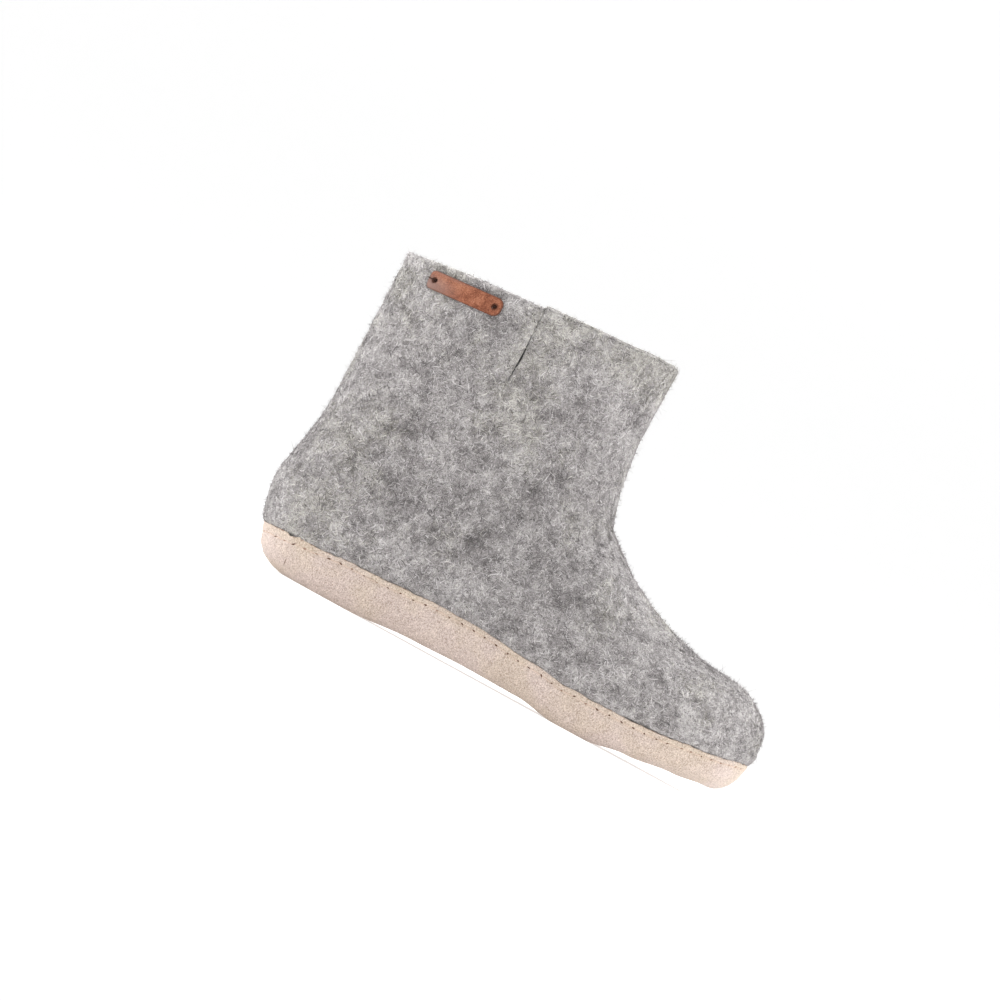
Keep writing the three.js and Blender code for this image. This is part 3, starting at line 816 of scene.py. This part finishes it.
SOLE_HALF = 380  # steps of its outline, toe to heel, on each side


def rim_crossing(u, height_of):
    """How far up each section crosses a height: below 0 where it misses."""
    s = section_at(u)
    q = np.zeros(np.shape(u))
    for _ in range(14):
        q = (height_of(mix(s[..., 2], s[..., 0], q)) - s[..., 3]) / (s[..., 1] - s[..., 3])
    return q


def crossing(u, height_of):
    """Where sections cross a height: the sections, how far up, the share of their half width and
    the angle on the inner side."""
    s = section_at(u)
    q = np.maximum(rim_crossing(u, height_of), 0)
    wide, crown, corner = s[..., 5], s[..., 6], s[..., 7]
    low = q < wide
    away = np.clip(np.where(low, (wide - q) / wide, (q - wide) / (1 - wide)), 0, 1)
    power = np.where(low, corner, crown)
    out = (1 - away**power) ** (1 / power)
    return s, q, out, np.arctan2(out, np.where(low, -away, away))


def outline(height_of, half):
    """The closed line where the felt's form reaches a height: places u, angles and points, from
    the toe along the outer side to the heel and back along the inner side."""
    fine = np.linspace(0.05, len(FOREFOOT) + len(HEEL) + 2, 6000)
    crossed = rim_crossing(fine, height_of) > 0
    toe = np.argmax(crossed)
    heel = toe + np.argmin(crossed[toe:]) - 1
    u = mix(fine[toe], fine[heel], eased(1500))
    s, q, out, _ = crossing(u, height_of)
    u = evenly(u, sum(steps_of(place(s, q, side * out)) for side in (-1, 1)), half + 1)
    s, q, out, angle = crossing(u, height_of)
    angle[[0, -1]] = math.pi
    out[[0, -1]] = 0

    def ring(outer, inner):
        return np.concatenate([outer, inner[-2:0:-1]])

    return ring(u, u), ring(2 * math.pi - angle, angle), ring(place(s, q, -out), place(s, q, out))


def ways_out(points):
    """The level outward direction at each point of an outline."""
    along = np.roll(points, -1, 0) - np.roll(points, 1, 0)
    out = np.stack([-along[:, 1], along[:, 0], np.zeros(len(points))], -1)
    centre = points.mean(0)
    if np.einsum("ij,ij->", out, points - centre) < 0:
        out = -out
    return unit(out)


MIDDLE_U = np.linspace(1, LAST, 400)
MIDDLE = section_at(MIDDLE_U)


def middle_y(x):
    """The foot's middle line, seen from above."""
    return np.interp(-np.asarray(x), -MIDDLE[:, 2], MIDDLE[:, 8])


def rounding(x):
    """How far in the sole's side reaches its tread."""
    heel = 1 - blend(0, 0.2 * LENGTH, x)
    toe = blend(0.8 * LENGTH, LENGTH, x)
    return mix(mix(SIDE_ROUNDING, HEEL_ROUNDING, heel), TOE_ROUNDING, toe)


RIM_U, RIM_ANGLE, RIM_LINE = outline(rim_at, SOLE_HALF)
RIM_OUT = ways_out(RIM_LINE)
RIM_STEP = np.linalg.norm(np.roll(RIM_LINE, -1, 0) - RIM_LINE, axis=1)
RIM_GONE = gone_over(RIM_STEP)[:-1]
RIM_LENGTH = RIM_STEP.sum()
STITCH = 6.4  # about; the pitch divides the rim's length evenly
STITCH_PITCH = RIM_LENGTH / round(RIM_LENGTH / STITCH)
STITCH_DROP = 2.6  # below the rim
LAP_X = 23.5  # where the suede's end laps over its start, near the heel on the outer side
# A crease in the suede of the heel, drawn as a line of painted shade: x, and how far below the rim it starts
# and ends.
HEEL_CREASE = [22.0, 10.4, 14.4]


def gone_at(x):
    """How far along the rim an x lies, from the toe over the outer side."""
    outer = slice(SOLE_HALF + 1)
    return np.interp(-x, -RIM_LINE[outer, 0], RIM_GONE[outer])


LAP_AT = gone_at(LAP_X)


def rim_noise(gone, size, seed):
    return noise(np.stack([gone, 0 * gone, 0 * gone], -1), size, seed)


def seam_drop(gone):
    """How far below the rim the seam runs, not quite evenly."""
    share = gone / RIM_LENGTH
    heel = blend(0.42, 0.49, share) * blend(0.62, 0.55, share)
    return STITCH_DROP + 1.3 * heel + 0.3 * rim_noise(gone, 23, 33) + 0.2 * rim_noise(gone, 9, 34)


def side_shape(left):
    """Way in and height left, along the side of the sole, as a smooth curve through its profile."""
    lefts, ways = np.array(SIDE_PROFILE[::-1], float).T
    fine = np.linspace(0, 1, 200)
    rough = np.interp(fine, lefts, ways)
    kernel = np.hanning(25)
    padded = np.pad(rough, 12, mode="reflect", reflect_type="odd")
    smooth = np.convolve(padded, kernel / kernel.sum(), "valid")
    return np.interp(left, fine, smooth)


def sole_side(left):
    """Points of the sole's side at a share of its height, with its stitched groove and its lap."""
    x = RIM_LINE[:, 0]
    gone = RIM_GONE
    p = RIM_LINE - RIM_OUT * (side_shape(left) * rounding(x))[:, None]
    rim = rim_at(x)
    p[:, 2] = mix(tread_at(p[:, 0]), rim, left * left / (left + 0.03 * (1 - left)) if left else 0)
    below = (1 - left) * (rim - tread_at(x))
    wobble = 0.35 * rim_noise(gone, 9, 31) + 0.28 * rim_noise(gone, 3.2, 32)
    lap = gone - LAP_AT
    slope = mix(-0.9, 1.5, np.clip((3.7 - lap) / 6.9, 0, 1)) * blend(-3.9, -3.2, lap)
    wobble = wobble + slope * hump(np.maximum(lap - 3.7, 0), 1.6)
    p[:, 2] += wobble * blend(5, 0, below)
    drop = seam_drop(gone)
    groove = 0.22 * hump(below - drop, 0.9)
    phase = 2 * math.pi * gone / STITCH_PITCH
    pucker = 0.16 * np.cos(phase) * hump(below - drop, 1.8)
    lumps = 0.25 * noise(p, 11, 41) + 0.12 * noise(p, 4.2, 43) + 0.06 * noise(p, 2, 45)
    past = lap - 0.22 * below - 1.5
    over = 0.4 * blend(-0.4, 0.4, past) * np.exp(-np.maximum(past, 0) / 9) * blend(14, 8, below)
    fade = blend(0, 1.5, below)
    return p + RIM_OUT * (lumps * fade - groove + pucker + over)[:, None]


def inner_rows(u, angle, depth_of, shares):
    """Rows of points from a line on the form down to its sole, moved in by a depth."""
    rows = []
    for share in shares:
        a = mix(angle, math.pi, share)
        base = surface(u, a)
        rows.append(base - normal(u, a) * depth_of(base)[:, None])
    return rows


def inset_of(points):
    """How far inside the sole's outline points lie, seen from above."""
    coarse = RIM_LINE[::4, :2]
    out = np.empty(len(points))
    for n in range(0, len(points), 4000):
        part = points[n : n + 4000, None, :2] - coarse[None]
        out[n : n + 4000] = np.sqrt((part**2).sum(-1)).min(1)
    return out


def drawn_in(line):
    """An outline's points moved to the middle line of the foot."""
    middle = line.copy()
    middle[:, 0] = np.clip(middle[:, 0], HEEL_WIDTH / 2, LENGTH - HEEL_WIDTH / 2)
    middle[:, 1] = middle_y(middle[:, 0])
    return middle


def add_cup(name, rows, look):
    """A piece from closed rows of points, and the points that it kept."""
    points = np.stack(rows)
    count, columns, _ = points.shape
    faces = grid_triangles(count, columns, closed=True)
    points, faces, _ = weld(points.reshape(-1, 3), faces, 0.01)
    return add_mesh(name, points, faces, [look]), points


def sole_suede():
    """The suede cup: tread, side, rounded rim and inside, with the cushion in the felt's opening."""
    middle = drawn_in(RIM_LINE)
    edge = RIM_LINE - RIM_OUT * rounding(RIM_LINE[:, 0])[:, None]
    rows = []
    for share in (1, 0.75, 0.5, 0.3, 0.15, 0.06):
        p = mix(edge, middle, share)
        p[:, 2] = tread_at(p[:, 0])
        rows.append(p)
    for left in np.concatenate([np.linspace(0, 0.7, 22), np.linspace(0.72, 0.985, 17)]):
        rows.append(sole_side(left))
    rim = sole_side(1.0)
    for depth, up in [[0.12, 0.28], [0.45, 0.5], [0.9, 0.52], [1.35, 0.4], [1.62, 0.1]]:
        p = rim - RIM_OUT * depth
        p[:, 2] += up - 0.35
        rows.append(p)
    cushion = FELT + LASTING_MARGIN + GAP

    def depth_of(base):
        inside = blend(cushion - 0.8, cushion + 0.8, inset_of(base))
        return mix(SUEDE, FELT, inside)

    shares = np.concatenate([[0.03], np.linspace(0.08, 1, 15)])
    rows += inner_rows(RIM_U, RIM_ANGLE, depth_of, shares)
    piece, points = add_cup("sole_suede", rows, SUEDE_LOOK)
    keep_value(piece, "below_rim", rim_at(points[:, 0]) - points[:, 2])
    return piece


def insole():
    """The felt lining under the foot."""
    def top_of(x):
        return tread_at(x) + SOLE_FLOOR - SUEDE + FELT + GAP + INSOLE

    u, angle, line = outline(top_of, 160)
    centre = drawn_in(line)
    depth = FELT + GAP
    rim = line - ways_out(line) * depth
    rows = []
    for share in (1, 0.8, 0.6, 0.45, 0.3, 0.18, 0.1, 0.05, 0.02):
        p = mix(rim, centre, share)
        p[:, 2] = top_of(p[:, 0]) + 0.25 * noise(p, 12, 51) + 0.1 * noise(p, 4, 53) - 0.5 * (share == 0.02)
        rows.append(p)
    down = inner_rows(u, angle, lambda base: np.full(len(base), depth), np.linspace(0.05, 1, 10))
    piece, points = add_cup("insole_felt", rows + down, FELT_LOOK)
    # The kept tone holds the wool's own tone and its painted shade.
    keep_value(piece, "tone", wool_tone_and_shade(points))
    return piece


# Threads

def tube(path, radius, sides=6):
    """Points and triangles of a round tube along a path, closed at both ends."""
    path = np.asarray(path, float)
    along = unit(np.gradient(path, axis=0))
    reference = np.array([0.31, 0.22, 0.92])
    across = unit(np.cross(along, reference))
    up = np.cross(across, along)
    radius = np.broadcast_to(radius, len(path))
    angles = np.arange(sides) * 2 * math.pi / sides
    ring = across[:, None] * np.cos(angles)[None, :, None] + up[:, None] * np.sin(angles)[None, :, None]
    points = (path[:, None] + ring * radius[:, None, None]).reshape(-1, 3)
    faces = grid_triangles(len(path), sides, closed=True)
    ends = []
    for first in (0, (len(path) - 1) * sides):
        fan = [[first, first + k, first + k + 1] for k in range(1, sides - 1)]
        ends += fan if first else [f[::-1] for f in fan]
    return points, np.concatenate([faces, np.array(ends)])


def gather(parts):
    """One set of points and triangles from several."""
    points, faces, start = [], [], 0
    for p, f in parts:
        points.append(p)
        faces.append(f + start)
        start += len(p)
    return np.concatenate(points), np.concatenate(faces)


SIDE_STEPS = 60
SIDE_TABLE = np.stack([sole_side(left) for left in np.linspace(0, 1, SIDE_STEPS + 1)])


def on_side(gone, below):
    """Points on the sole's side at lengths along its rim and distances below it."""
    gone = np.mod(gone, RIM_LENGTH)
    column = np.interp(gone, np.append(RIM_GONE, RIM_LENGTH), np.arange(len(RIM_GONE) + 1))
    x = np.interp(gone, RIM_GONE, RIM_LINE[:, 0])
    row = (1 - below / (rim_at(x) - tread_at(x))) * SIDE_STEPS
    c0 = np.floor(column).astype(int)
    r0 = np.clip(np.floor(row).astype(int), 0, SIDE_STEPS - 1)
    fc = (column - c0)[:, None]
    fr = (row - r0)[:, None]
    here = c0 % len(RIM_OUT)
    after = (c0 + 1) % len(RIM_OUT)
    a = mix(SIDE_TABLE[r0, here], SIDE_TABLE[r0, after], fc)
    b = mix(SIDE_TABLE[r0 + 1, here], SIDE_TABLE[r0 + 1, after], fc)
    out = mix(RIM_OUT[here], RIM_OUT[after], fc)
    return mix(a, b, fr), unit(out)


def seam():
    """The seam round the sole: thread sunk in its groove, dark tubes of painted shade in the holes that it
    goes through, and a line of painted shade in the heel's crease.
    """
    count = round(RIM_LENGTH / STITCH_PITCH)
    rng = np.random.default_rng(11)
    threads, holes, faint = [], [], []
    ends = (np.arange(count) + 0.5) * STITCH_PITCH + rng.normal(0, 0.35, count)
    for n in range(count):
        start = ends[n] + 0.5
        stop = ends[n + 1] - 0.5 if n + 1 < count else ends[0] + RIM_LENGTH - 0.5
        gone = np.linspace(start, stop, 9)
        sag = 0.1 * rng.normal(0, 1)
        t = np.linspace(0, math.pi, 9)
        p, out = on_side(gone, seam_drop(gone) + sag * np.sin(t))
        rise = 0.14 * np.sin(t) - 0.16 + 0.07 * rng.normal(0, 1)
        threads.append(tube(p + out * rise[:, None], 0.28))
        # Each stitch hole gets a dark tube of painted shade; some get a fainter one, more of them towards the
        # toe.
        at_heel = abs(ends[n] / RIM_LENGTH - 0.5) < 0.1
        half = 0.45 + 0.5 * rng.random() + 0.4 * at_heel
        gone = ends[n] + np.linspace(-half, half, 5)
        tilt = rng.normal(0, 0.2) * np.linspace(-1, 1, 5)
        p, out = on_side(gone, seam_drop(gone) + tilt)
        size = 0.3 + 0.16 * rng.random()
        hole = tube(p - out * 0.1, size * np.array([0.5, 0.9, 1.05, 0.9, 0.5]))
        (faint if rng.random() < 0.3 + 0.5 * blend(215, 235, p[2, 0]) else holes).append(hole)
    # The heel's crease gets a thin dark tube of painted shade.
    x, low, high = HEEL_CREASE
    drops = np.linspace(low, high, 6)
    p, out = on_side(gone_at(x) + 0.35 * (drops - low), drops)
    holes.append(tube(p - out * 0.08, 0.2 * np.array([0.5, 1, 1.1, 1, 0.8, 0.4])))
    return (
        add_mesh("seam_thread", *gather(threads), [THREAD_LOOK]),
        add_mesh("seam_hole_and_crease_shade", *gather(holes), [DARK_SHADE_LOOK]),
        add_mesh("seam_faint_hole_shade", *gather(faint), [FAINT_SHADE_LOOK]),
    )


# The leather tag

def tag():
    """A strip of leather with rounded corners and edges, dished at its two holes."""
    columns = 130
    x = mix(TAG_LENGTH * eased(columns), np.linspace(0, TAG_LENGTH, columns), 0.6)
    half = tag_half(x)
    near_edge = np.array([0.88, 0.95, 0.985, 1])
    across = np.concatenate([-near_edge[::-1], np.linspace(-0.75, 0.75, 13), near_edge])
    flat = TAG_THICKNESS - 0.45 * np.abs(across) ** 14 - 0.3 * (np.abs(across) > 0.99)
    hole_at = np.array([TAG_HOLE_FROM_END, TAG_LENGTH - TAG_HOLE_FROM_END])
    xx = x[:, None]
    up = half[:, None] * across[None, :]
    end = np.minimum(x, TAG_LENGTH - x)[:, None]
    far = np.sqrt((xx - hole_at[:, None, None]) ** 2 + up**2).min(0)
    dish = 1.3 * blend(TAG_HOLE / 2 + 0.35, TAG_HOLE / 2 - 0.25, far)
    top = flat[None, :] - 0.5 * hump(end, 0.35) - dish
    top = top + 0.12 * noise(np.stack([xx + 0 * up, up, 0 * up], -1), 4, 61)
    over = on_tag(xx + 0 * up, up, top)
    under = on_tag(xx + 0 * up, up * 0.985, np.zeros_like(up))
    ring = np.concatenate([over, under[:, ::-1]], 1)
    count = ring.shape[1]
    faces = grid_triangles(columns, count, closed=True)
    caps = []
    for c in (0, columns - 1):
        a = c * count + np.arange(len(across) - 1)
        b = c * count + count - 1 - np.arange(len(across) - 1)
        quads = np.stack([a, a + 1, b - 1, b], -1)
        caps.append(triangles_of(quads if c else quads[:, ::-1]))
    points, faces, first = weld(ring.reshape(-1, 3), np.concatenate([faces] + caps))
    piece = add_mesh("leather_tag", points, faces, [LEATHER_LOOK])
    # How near an edge or a hole each point is, with painted shade widening the dark edge at the front end,
    # and how pale: worn at the rear end, with a painted highlight along the upper edge.
    edge = np.minimum(np.minimum(half[:, None] - np.abs(up), end), far - TAG_HOLE / 2)
    # Painted shade: the dark edge reaches further in at the front end.
    edge = edge - 0.4 * blend(TAG_LENGTH - 7, TAG_LENGTH, xx)
    wear_and_highlight = np.maximum(blend(22, 1, xx) * blend(5, -2, up), 0.4 * blend(2.2, 4, up) * blend(24, 14, xx))
    for name, values in (("edge", edge), ("wear_and_highlight", wear_and_highlight)):
        both = np.concatenate([values + 0 * up, 0 * up], 1)  # none on the tag's underside
        keep_value(piece, name, both.reshape(-1)[first])
    return piece


def tag_threads():
    """The dark thread that holds the tag: a knot in each hole and a stitch over its rear end."""
    parts = []
    for x in (TAG_HOLE_FROM_END, TAG_LENGTH - TAG_HOLE_FROM_END):
        turns = np.linspace(0, 2 * math.pi * 1.6, 22)
        size = np.linspace(0.65, 0.2, 22)
        lift = np.linspace(0.5, 1.5, 22)
        parts.append(tube(on_tag(x + size * np.cos(turns), size * np.sin(turns), lift), 0.34))
    t = np.linspace(0, 1, 12)
    over = mix(TAG_HOLE_FROM_END, -1.0, t)
    lift = np.where(t < 0.78, TAG_THICKNESS + 0.2, mix(TAG_THICKNESS + 0.2, -0.4, (t - 0.78) / 0.22))
    parts.append(tube(on_tag(over, 0.35 * t, lift), 0.26))
    return add_mesh("tag_threads", *gather(parts), [DARK_THREAD_LOOK])


# Fibres

# Steps along rows and columns of the felt's grid, and its outward directions.
ALONG = np.gradient(FELT_GRID, axis=0)
AROUND = np.gradient(FELT_GRID, axis=1)
OUTWARD = unit(np.cross(AROUND, ALONG))


def sample(grid, r, c):
    """Values of a grid at places between its rows and columns."""
    r = np.clip(r, 0, grid.shape[0] - 1.001)
    c = np.clip(c, 0, grid.shape[1] - 1.001)
    i = np.floor(r).astype(int)
    j = np.floor(c).astype(int)
    fr = (r - i)[..., None]
    fc = (c - j)[..., None]
    return mix(mix(grid[i, j], grid[i, j + 1], fc), mix(grid[i + 1, j], grid[i + 1, j + 1], fc), fr)


def scatter(count, rng, density):
    """Random places on the felt's grid, evenly by area times a density."""
    size = np.linalg.norm(np.cross(ALONG, AROUND), axis=-1) * density
    weight = np.cumsum(size.ravel())
    pick = np.searchsorted(weight, rng.random(count) * weight[-1])
    r, c = np.divmod(pick, FELT_GRID.shape[1])
    return r + rng.random(count) - 0.5, c + rng.random(count) - 0.5


def wool_density():
    """Where fibres lie: over the outside above the sole, over the edge and a little way inside."""
    above = FELT_GRID[..., 2] - rim_at(FELT_GRID[..., 0])
    density = (above > 0.2).astype(float)
    density[FELT_OUTER_ROWS + 14 :] = 0
    density[:2] = 0
    return density


DENSITY = wool_density()


def wool_choice(points, rng, spread):
    """The material of each fibre: one of the wool's tones, by the tone and painted shade where it lies, and
    by chance.
    """
    tones = len(WOOL_GREYS)
    tone = np.round(tones // 2 + wool_tone_and_shade(points) + rng.normal(0, spread, len(points)))
    warm = wool_warmth(points) + rng.normal(0, 0.25, len(points)) > 0.35
    return (np.clip(tone, 0, tones - 1) + tones * warm).astype(int)


def laid_fibres(name, count, segments, length, width, lift, spread, seed):
    """Fibres lying on the felt, each a thin bent ribbon of one of the wool's tones."""
    rng = np.random.default_rng(seed)
    r, c = scatter(count, rng, DENSITY)
    heading = rng.random(count) * 2 * math.pi
    bend = rng.normal(0, 0.7, count)
    size = length * np.exp(rng.normal(0, 0.4, count)) / segments
    high = lift * (0.2 + 0.8 * rng.random(count)) * np.where(rng.random(count) < 0.06, 3, 1)
    tones = wool_choice(sample(FELT_GRID, r, c), rng, spread)
    rows = []
    for n in range(segments + 1):
        here, out, a, b = (sample(grid, r, c) for grid in (FELT_GRID, OUTWARD, ALONG, AROUND))
        out = unit(out)
        first = unit(a)
        second = np.cross(out, first)
        way = first * np.cos(heading)[:, None] + second * np.sin(heading)[:, None]
        share = n / segments
        rise = high * (0.25 + math.sin(math.pi * share))
        taper = 0.4 + 0.6 * math.sin(math.pi * (0.1 + 0.8 * share))
        side = np.cross(out, way) * (width * 0.5 * taper)
        tilt = out * (rng.normal(0, 0.35, count) * width * 0.5)[:, None]
        middle = here + out * rise[:, None]
        rows.append(np.stack([middle - side - tilt, middle + side + tilt], 1))
        # The next place along the fibre, in steps of the grid.
        d = way * size[:, None]
        aa, ab, bb = (np.einsum("ij,ij->i", p, q) for p, q in ((a, a), (a, b), (b, b)))
        ad, bd = (np.einsum("ij,ij->i", p, d) for p in (a, b))
        det = np.maximum(aa * bb - ab * ab, 1e-6)
        r = r + np.clip((ad * bb - bd * ab) / det, -6, 6)
        c = np.clip(c + np.clip((bd * aa - ad * ab) / det, -6, 6), 0, FELT_GRID.shape[1] - 1)
        heading = heading + bend + rng.normal(0, 0.3, count)
    return ribbons(name, rows, tones)


def ribbons(name, rows, tones):
    """A mesh of ribbons from rows of their two edges."""
    count = len(tones)
    segments = len(rows) - 1
    points = np.stack(rows, 1).reshape(-1, 3)
    base = np.arange(count)[:, None] * (segments + 1) * 2 + 2 * np.arange(segments)[None]
    quads = np.stack([base, base + 1, base + 3, base + 2], -1).reshape(-1, 4)
    return add_mesh(name, points, triangles_of(quads), WOOL_LOOKS, np.tile(np.repeat(tones, segments), 2))


def standing_fibres(name, count, length, seed):
    """Short hairs that stand out from the felt."""
    rng = np.random.default_rng(seed)
    r, c = scatter(count, rng, DENSITY)
    here = sample(FELT_GRID, r, c)
    out = unit(sample(OUTWARD, r, c))
    way = unit(out * 0.6 + unit(rng.normal(0, 1, (count, 3))) * 0.8)
    curl = unit(np.cross(way, rng.normal(0, 1, (count, 3))))
    size = length * np.exp(rng.normal(0, 0.45, count))
    rows = []
    for share in (0, 0.5, 1):
        middle = here + way * (size * share)[:, None] + curl * (size * 0.45 * share**2)[:, None]
        side = unit(np.cross(way, curl)) * (0.1 * (1 - 0.5 * share))
        rows.append(np.stack([middle - side, middle + side], 1))
    return ribbons(name, rows, wool_choice(here, rng, 1.0))


# The pieces, in place

def ride(piece, node=None):
    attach(piece, "root")
    if node:
        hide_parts(node)


ride(felt_upper(), "upper")
ride(sole_suede(), "sole")
ride(insole(), "insole")
ride(tag(), "tag")
for piece in (*seam(), tag_threads()):
    ride(piece)
ride(laid_fibres("wool_laid_a", 34000, 2, 2.2, 0.44, 0.16, 1.5, 101))
# The tufts' wide spread of tones sets dark specks among pale ones; the dark specks are partly painted shade
# between clumps of fibres.
ride(laid_fibres("wool_tufts", 56000, 1, 1.1, 0.52, 0.14, 2.0, 102))
ride(laid_fibres("wool_laid_b", 12000, 2, 3.0, 0.22, 0.22, 1.3, 103))
ride(standing_fibres("wool_fuzz", 48000, 1.15, 104))


# The stage

def white_sweep():
    """A white floor that curves up into a backdrop, further away than any camera stands."""
    depth = 6.5
    radius = 0.8
    reach = 9.0
    bend_y = depth - radius
    turns = np.linspace(0, math.pi / 2, 16)
    line = [(bend_y + radius * math.sin(t), radius - radius * math.cos(t)) for t in turns]
    line = [(-reach, 0.0), *line, (depth, 4.0)]
    points = np.array([[x, y, z] for y, z in line for x in (-reach, reach)])
    mesh = bpy.data.meshes.new("white_sweep")
    faces = [[2 * n, 2 * n + 1, 2 * n + 3, 2 * n + 2] for n in range(len(line) - 1)]
    mesh.from_pydata(points.tolist(), [], faces)
    mesh.polygons.foreach_set("use_smooth", [True] * len(faces))
    material, nodes, links = new_material("white_paper")
    values = {"Base Color": (0.64, 0.64, 0.64, 1), "Roughness": 1}
    values |= {"Emission Color": (1, 1, 1, 1), "Emission Strength": 0.55}
    fill(nodes["Principled BSDF"], links, values)
    mesh.materials.append(material)
    sweep = add_object("white_sweep", mesh)


def area_light(name, place_at, aim, size, power):
    light = bpy.data.lights.new(name, "AREA")
    light.shape = "RECTANGLE"
    light.size, light.size_y = size
    light.energy = power
    lamp = add_object(name, light)
    lamp.location = place_at
    lamp.rotation_euler = (Vector(aim) - Vector(place_at)).to_track_quat("-Z", "Y").to_euler()


# The camera looks along +Y, level, and is rolled as the photograph is.
ROLL = math.radians(28.6)
CAMERA_AIM = (99.2, 80.4)  # x and z of the middle of the picture
FIELD = 474.7  # width of the picture at the boot's middle
CAMERA_AWAY = 6.0


def camera():
    data = bpy.data.cameras.new("camera")
    data.sensor_fit = "HORIZONTAL"
    data.angle = 2 * math.atan(FIELD * METRES / 2 / CAMERA_AWAY)
    eye = add_object("camera", data)
    right = Vector((math.cos(ROLL), 0, math.sin(ROLL)))
    up = Vector((-math.sin(ROLL), 0, math.cos(ROLL)))
    back = Vector((0, -1, 0))
    turned = Matrix((right, up, back)).transposed().to_4x4()
    x, z = CAMERA_AIM
    aim = to_frame([x, ORIGIN[1], z])
    turned.translation = Vector((aim[0], aim[1] - CAMERA_AWAY, aim[2]))
    eye.matrix_world = turned
    bpy.context.scene.camera = eye


def white_room():
    """White walls that give light from everywhere, and less from in front."""
    world = bpy.data.worlds.new("white_room")
    bpy.context.scene.world = world
    world.use_nodes = True
    nodes = world.node_tree.nodes
    links = world.node_tree.links
    axes = nodes.new("ShaderNodeSeparateXYZ")
    links.new(nodes.new("ShaderNodeTexCoord").outputs["Generated"], axes.inputs["Vector"])
    values = {"Value": axes.outputs["Y"], "From Min": -1, "From Max": 0.3, "To Min": 0.3, "To Max": 0.9}
    span = fill(nodes.new("ShaderNodeMapRange"), links, values)
    fill(nodes["Background"], links, {"Color": (1, 1, 1, 1), "Strength": span.outputs["Result"]})


white_sweep()
white_room()
camera()
area_light("left", (-1.5, 0.3, 0.8), (0, 0, 0.09), (1.4, 1.6), 26)
area_light("right", (1.5, 0.3, 0.8), (0, 0, 0.09), (1.4, 1.6), 24)
area_light("top", (0.0, 0.2, 1.8), (0, 0, 0.05), (1.8, 1.8), 33)
area_light("front", (-0.4, -2.4, 1.2), (0, 0, 0.08), (1.6, 1.6), 18)
bpy.context.scene.view_settings.view_transform = "Standard"
